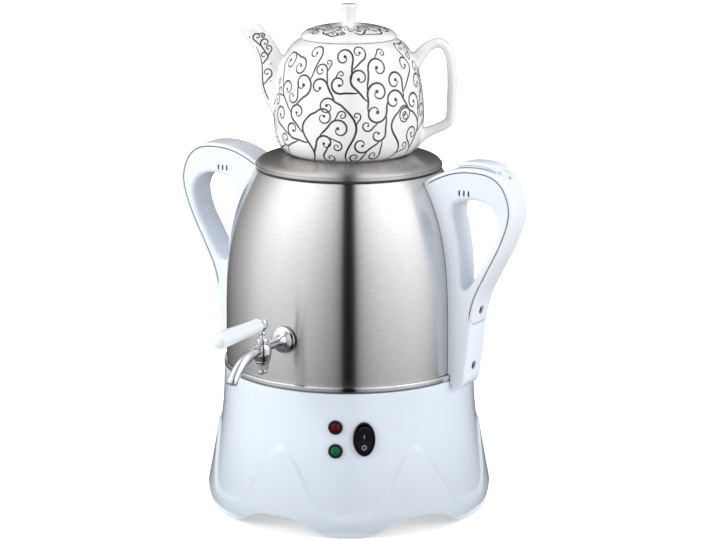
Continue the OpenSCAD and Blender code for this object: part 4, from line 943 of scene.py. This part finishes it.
# ---------------------------------------------------------------- painted scroll ornament
def spiral(x, y, r, turns, start, way):
    """from the rim of a curl in to its middle, starting at angle start"""
    out = []
    n = int(22 * turns)
    for t in steps(0, 1, n):
        q = r * ((1 - t) ** 0.85 * 0.84 + 0.16)
        a = start + way * TAU * turns * t
        out.append((x + q * math.cos(a), y + q * math.sin(a)))
    return out


def tendril(root, heading, r, way, turns, reach=1.0):
    """a stalk that leaves root in the direction heading and rolls up into a curl of radius r"""
    hx, hy = math.cos(heading), math.sin(heading)
    nx, ny = -hy * way, hx * way
    cx, cy = root[0] + hx * r * 1.15 * reach + nx * r * 1.25, root[1] + hy * r * 1.15 * reach + ny * r * 1.25
    rolled = spiral(cx, cy, r, turns, math.atan2(-ny, -nx), way)
    p0, p3 = np.array(root, float), np.array(rolled[0])
    p1, p2 = p0 + np.array((hx, hy)) * r * 0.5 * reach, p3 - np.array((hx, hy)) * r * 0.55 * reach
    stalk = [tuple((1 - t) ** 3 * p0 + 3 * t * (1 - t) ** 2 * p1 + 3 * t * t * (1 - t) * p2 + t ** 3 * p3)
             for t in np.linspace(0, 1, 10)[:-1]]
    return [tuple(float(c) for c in q) for q in stalk + rolled]


class Painter:
    """Thin shapes drawn in pattern space and laid on a surface by project"""

    def __init__(self, project):
        self.project, self.verts, self.faces = project, [], []

    def add(self, verts, faces):
        if not any(v is None for v in verts):
            k = len(self.verts)
            self.verts += verts
            self.faces += [tuple(k + v for v in f) for f in faces]

    def stroke(self, line, thick, thin=0.45):
        """a strip of quads along line, widest a third of the way along"""
        n = len(line)
        verts = []
        for i, here in enumerate(line):
            d = np.array(line[min(i + 1, n - 1)], float) - np.array(line[max(i - 1, 0)], float)
            d /= max(1e-9, np.linalg.norm(d))
            width = thin
            if 0 < i < n - 1:
                width += (thick - thin) * math.sin(math.pi * (i / (n - 1)) ** 0.6) ** 0.7
            side = np.array((-d[1], d[0])) * width / 2
            verts += [self.project(*(np.array(here, float) + side * k)) for k in (-1, 0, 1)]
        lows = [3 * i + k for i in range(n - 1) for k in (0, 1)]
        self.add(verts, [(a, a + 1, a + 4, a + 3) for a in lows])

    def dab(self, x, y, r, n=14):
        ring = [self.project(x + r * c, y + r * s) for c, s in spokes(n)]
        self.add([self.project(x, y)] + ring, [(0, 1 + k, 1 + (k + 1) % n) for k in range(n)])

    def done(self, name, body):
        finish_piece(new_mesh(name, self.verts, self.faces, 60, 1.0), body, "porcelain", look="ornament")


class Thicket:
    """Scrolls that fill a strip of pattern space without touching one another"""

    def __init__(self, painter, span, low, high, wrap=None):
        self.p, self.span, self.low, self.high, self.wrap = painter, span, low, high, wrap
        self.spots, self.lines = [], []

    def clear(self, line, gap):
        """whether a new line keeps its distance, its first points (by its own root) aside"""
        far = line[6:]
        for x, y in far:
            if not self.low < y < self.high or (self.wrap is None and not self.span[0] < x < self.span[1]):
                return False
        if any(self.p.project(x, y) is None for x, y in line[::2]):
            return False
        new, old = np.array(far), np.array(self.spots)
        dx = np.abs(new[:, None, 0] - old[None, :, 0])
        if self.wrap:
            dx = np.minimum(dx % self.wrap, self.wrap - dx % self.wrap)
        return float(np.min(dx ** 2 + (new[:, None, 1] - old[None, :, 1]) ** 2)) > gap ** 2

    def keep(self, line, thick):
        self.p.stroke(line, thick)
        self.spots += [tuple(q) for q in line[::2]]
        self.lines.append(line)

    def grow(self, radii, tries, gap):
        """branches off the lines there are, large ones first"""
        for r in radii:
            for _ in range(tries):
                line = random.choice(self.lines)
                i = random.randrange(2, max(3, int(len(line) * 0.7)))
                if i + 1 >= len(line):
                    continue
                d = math.atan2(line[i + 1][1] - line[i - 1][1], line[i + 1][0] - line[i - 1][0])
                way = random.choice((-1, 1))
                head = d - way * math.radians(random.uniform(10, 60))
                size = r * random.uniform(0.85, 1.15)
                turns = random.uniform(0.85, 1.2)
                scroll = tendril(line[i], head, size, way, turns, random.uniform(0.9, 2.2))
                if self.clear(scroll, gap):
                    self.keep(scroll, 0.8 + 0.11 * r)
                    self.p.dab(*scroll[-1], max(0.62, size * 0.16))


INK_LIFT = 0.07 * MM


def surface(ob):
    """a function that sends a ray at ob and gives a point just off it, its normal, and its radius in mm"""
    bm = bmesh.new()
    bm.from_mesh(ob.data)
    tree = BVHTree.FromBMesh(bm)
    bm.free()

    def meet(start, way, far):
        hit, face, _, _ = tree.ray_cast(Vector(start) * MM, Vector(way), far)
        if hit is None:
            return None, None, 0.0
        return hit + face * INK_LIFT, face, math.hypot(hit.x, hit.y) / MM
    return meet


meet_pot, meet_lid = surface(pot), surface(pot_lid)
ARC = [0.0]
for a, b in zip(POT_LINE, POT_LINE[1:]):
    ARC.append(ARC[-1] + float(np.linalg.norm(b - a)))


def pot_point(u, v):
    """u: way round at the widest radius, v: way up the side; on the glaze, or None off the bowl"""
    if not 3 < v < ARC[-1] - 1:
        return None
    r, z = (float(np.interp(v, ARC, [p[k] for p in POT_LINE])) for k in (0, 1))
    c, s = math.cos(u / POT_R), math.sin(u / POT_R)
    hit, _, away = meet_pot(((r + 6) * c, (r + 6) * s, z), (-c, -s, 0), 0.012)
    return None if away > r + 1.2 else hit


def stem_line(x, y, height, lean, swing, phase):
    def over(t):
        return x + lean * t + swing * math.sin(math.pi * 1.6 * t + phase) - swing * math.sin(phase)

    return [(over(t), y + height * t) for t in np.linspace(0, 1, 34)]


painter = Painter(pot_point)
thicket = Thicket(painter, None, 5, ARC[-1] - 3, TAU * POT_R)
for i, az in enumerate((-124, -93, -61, -27, 1, 62, 96, 128, 160, 186)):  # clear of the spout and the handle
    flip = 1 if i % 2 else -1
    height, phase = random.uniform(28, 52), 0.2 + 0.5 * (i % 3)
    line = stem_line(math.radians(az) * POT_R, 6, height, 12 * flip, 8 * flip, phase)
    (x0, y0), (x1, y1) = line[-3], line[-1]
    rolled = tendril(line[-1], math.atan2(y1 - y0, x1 - x0), 7.5, -flip, 1.2)
    if any(pot_point(*q) is None for q in line + rolled):
        continue
    thicket.keep(line + rolled[1:], 1.8)
    painter.dab(*rolled[-1], 1.2)
thicket.grow((9, 8, 7.2, 6.4, 5.6, 5, 4.4, 3.8, 3.3, 2.9), 260, 2.1)
painter.done("teapot_ornament", "teapot")


def spout_side(sign):
    """pattern space is (distance from the axis, height) on one side of the spout"""
    c, s = math.cos(math.radians(SPOUT_AZ)), math.sin(math.radians(SPOUT_AZ))
    way = Vector((sign * s, -sign * c, 0))

    def project(u, v):
        hit, face, away = meet_pot((u * c - sign * 30 * s, u * s + sign * 30 * c, v), way, 0.03)
        return None if hit is None or abs(face.dot(way)) < 0.5 or away < POT_R + 0.6 else hit
    return project


for sign, name in ((-1, "left"), (1, "right")):
    painter = Painter(spout_side(sign))
    thicket = Thicket(painter, (62, 94), 322, 402)
    stem = [(66.5 + 10 * t + 1.6 * math.sin(TAU * t), 346 + 44 * t) for t in np.linspace(0, 1, 40)]
    thicket.keep(stem, 1.2)
    thicket.grow((4, 3.6, 3.2, 2.8, 2.4, 2.1), 220, 1.2)
    painter.done("spout_ornament_" + name, "teapot")

LID_WAY = 28.0  # the radius at which the way round the pot's lid is measured


def lid_point(u, v):
    if v < 11 or v > 37.5:
        return None
    return meet_lid((v * math.cos(u / LID_WAY), v * math.sin(u / LID_WAY), 430), (0, 0, -1), 0.06)[0]


painter = Painter(lid_point)
around = TAU * LID_WAY
thicket = Thicket(painter, None, 13, 37, around)
for i in range(7):
    stem = [(around * i / 7 + 17 * t, 30 + 4.5 * math.sin(TAU * t)) for t in np.linspace(0, 1, 24)]
    thicket.keep(stem, 1.5)
thicket.grow((5.2, 4.6, 4, 3.4, 2.9, 2.5, 2.2), 260, 1.3)
painter.done("pot_lid_ornament", "pot_lid")

# ---------------------------------------------------------------- CAD nodes that stay
KEPT = {
    "bolt_steel": "base_nuts tank_studs thermostat_strap strap_screws inlet_screws lamp_clips tap_nut"
                  " handle_screws handle_bolts latch_pin",
    "plate_grey": "base_plate", "pad_rubber": "foot_pads", "gasket_rubber": "mouth_gasket",
    "floor_steel": "tank_floor", "heater_aluminium": "heater_plate", "element_steel": "heating_element",
    "thermostat_black": "thermostat",
    "block_cream": "terminal_block", "lead_brown": "wiring", "inlet_black": "inlet_housing",
    "blade_brass": "inlet_blades switch_terminals", "washer_rubber": "tap_washers bolt_washers",
    "washer_steel": "plug_washer", "tap_chrome": "lever_rod", "inside_steel": "lid_skirt"}
for look, nodes in KEPT.items():
    for node in nodes.split():
        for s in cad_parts[node].material_slots:
            s.material = M[look]

# ---------------------------------------------------------------- studio
# what the steel and chrome mirror: light by angle from the camera's side of the object, in degrees
LEFT = [(0, 0.3), (5, 0.33), (9, 0.42), (12, 0.56), (21, 0.75), (28, 0.87), (35, 0.98), (45, 1.1),
        (54, 1.2), (62, 1.25), (72, 1.23), (85, 1.08), (102, 0.74), (128, 0.38), (150, 0.15), (180, 0.05)]
RIGHT = [(5, 0.38), (9, 0.55), (12, 0.71), (21, 0.94), (28, 1.06), (35, 1.14), (45, 1.23), (54, 1.29),
         (62, 1.25), (70, 1.12), (77, 0.82), (85, 0.62), (102, 0.5), (128, 0.34), (150, 0.15), (180, 0.05)]
AROUND = [(-a, v) for a, v in reversed(LEFT)] + RIGHT
# and by height, in mm
UPWARD = [(-50, 0.06), (0, 0.12), (25, 0.45), (60, 0.64), (110, 0.76), (160, 0.92), (230, 1.03), (320, 1.22),
          (420, 1.45), (620, 1.5)]
# half-width, in m, of the dark stripe that runs over the tent in the plane of the view
STRIPE = (0.024, 0.046)
TENT_R, TENT_SIDE = 360, 380
AMBIENT = 0.5


def emitter(name, build):
    m = bpy.data.materials.new(name)
    m.use_nodes = True
    m.node_tree.nodes.clear()
    t = Tree(m.node_tree)
    t.link(build(t), t.node("OutputMaterial").inputs["Surface"])
    return m


def table(t, value, points):
    """a smooth curve through points; value runs from 0 at the first to 1 at the last"""
    n = t.node("FloatCurve", Value=value)
    line = n.mapping.curves[0]
    low, high, top = points[0][0], points[-1][0], max(v for _, v in points)
    for i, (x, v) in enumerate(points):
        at = ((x - low) / (high - low), v / top)
        if i < 2:
            line.points[i].location = at
        else:
            line.points.new(*at)
        line.points[i].handle_type = "AUTO_CLAMPED"
    n.mapping.update()
    return t.calc("MULTIPLY", n.outputs[0], top)


def tent_light(t):
    turned = t.node("VectorRotate", rotation_type="Z_AXIS", Vector=t.place(), Angle=-VIEW)
    at = t.node("SeparateXYZ", turned.outputs[0]).outputs
    angle = t.calc("ARCTAN2", at["X"], t.calc("MULTIPLY", at["Y"], -1.0))
    around = table(t, t.calc("DIVIDE", t.calc("ADD", angle, math.pi), TAU), AROUND)
    upward = table(t, t.calc("DIVIDE", t.calc("ADD", at["Z"], 0.05), 0.67), UPWARD)
    stripe = t.span(t.calc("ABSOLUTE", at["X"]), STRIPE, (0.02, 1.0), "SMOOTHSTEP")
    light = t.calc("MULTIPLY", t.calc("MULTIPLY", around, upward), stripe)
    return t.node("Emission", Strength=light).outputs[0]


def seen_directly(t):
    rays = t.node("LightPath").outputs
    plain = t.calc("MAXIMUM", rays["Is Camera Ray"], rays["Is Glossy Ray"])
    return t.calc("MAXIMUM", plain, rays["Is Transmission Ray"])


def floor_look(t):
    """near the object the floor takes its shadow; further away it fades to plain white"""
    matt = t.node("BsdfDiffuse", Color=(0.8, 0.8, 0.8, 1)).outputs[0]
    far = t.node("VectorMath", t.place(), operation="LENGTH").outputs["Value"]
    white = t.span(far, (0.2, 1.2), (0.5, 1.0), "SMOOTHSTEP")
    speck = t.calc("MULTIPLY", t.calc("SUBTRACT", t.node("TexNoise", Scale=3.0).outputs["Fac"], 0.5), 0.02)
    glow = t.calc("MULTIPLY", seen_directly(t), t.calc("ADD", white, speck))
    return t.node("AddShader", matt, t.node("Emission", Strength=glow).outputs[0]).outputs[0]


tent_line = [(124, 0.4), (TENT_R, 0.4), (TENT_R, 120), (TENT_R, 250), (TENT_R, TENT_SIDE)]
tent_line += arc(0, TENT_SIDE, TENT_R, 235, np.linspace(0.1, math.pi / 2, 16))
tent_line[-1] = (0, tent_line[-1][1])
tent = revolve("studio_tent", tent_line, 128)
tent.data.materials.append(emitter("tent_light", tent_light))
tent.visible_camera = tent.visible_diffuse = tent.visible_shadow = tent.visible_transmission = False
tent.visible_volume_scatter = False

floor = revolve("floor", [(0, 0), (800, 0), (2400, 0), (9000, 0)], 64)
floor.data.materials.append(emitter("floor_look", floor_look))

SCENE.world = bpy.data.worlds.new("studio")
SCENE.world.use_nodes = True
sky = Tree(SCENE.world.node_tree)
background = sky.t.nodes["Background"].inputs
background["Color"].default_value = (1, 1, 1, 1)
level = sky.calc("ADD", sky.calc("MULTIPLY", seen_directly(sky), 1 - AMBIENT), AMBIENT)
sky.link(level, background["Strength"])


def area(name, where, size, watts):
    """a rectangular lamp that looks at the object and isn't mirrored in it"""
    lamp = bpy.data.lights.new(name, "AREA")
    lamp.shape, lamp.size, lamp.size_y, lamp.energy = "RECTANGLE", *size, watts
    ob = add_object(name, lamp)
    ob.location = where
    ob.rotation_euler = (Vector((0, 0, 0.2)) - Vector(where)).to_track_quat("-Z", "Y").to_euler()
    ob.visible_glossy = False


def around_view(degrees, distance, height):
    a = VIEW + math.radians(degrees)
    return (distance * math.sin(a), -distance * math.cos(a), height)


area("key_left", around_view(-66, 1.7, 0.85), (1.1, 1.3), 22)
area("fill_right", around_view(70, 1.7, 0.8), (1.1, 1.3), 18)
area("top", (0.05, 0, 1.7), (1.3, 1.3), 7)
area("back", around_view(180, 1.8, 1.0), (1.4, 1.2), 8)

# ---------------------------------------------------------------- camera, as fitted to the photograph
FOCAL_PIXELS, WIDTH_PIXELS = 2480.83, 716
cam = bpy.data.cameras.new("camera")
camera = add_object("camera", cam)
cam.sensor_width, cam.lens = 36.0, FOCAL_PIXELS * 36 / WIDTH_PIXELS
aim = Vector((6.63, 3.83, 198.98)) * MM
camera.location = Vector((1030.3, -1769.2, 666.4)) * MM
camera.rotation_euler = (aim - camera.location).to_track_quat("-Z", "Y").to_euler()
SCENE.camera = camera
SCENE.view_settings.view_transform = "Standard"

bpy.context.view_layer.update()
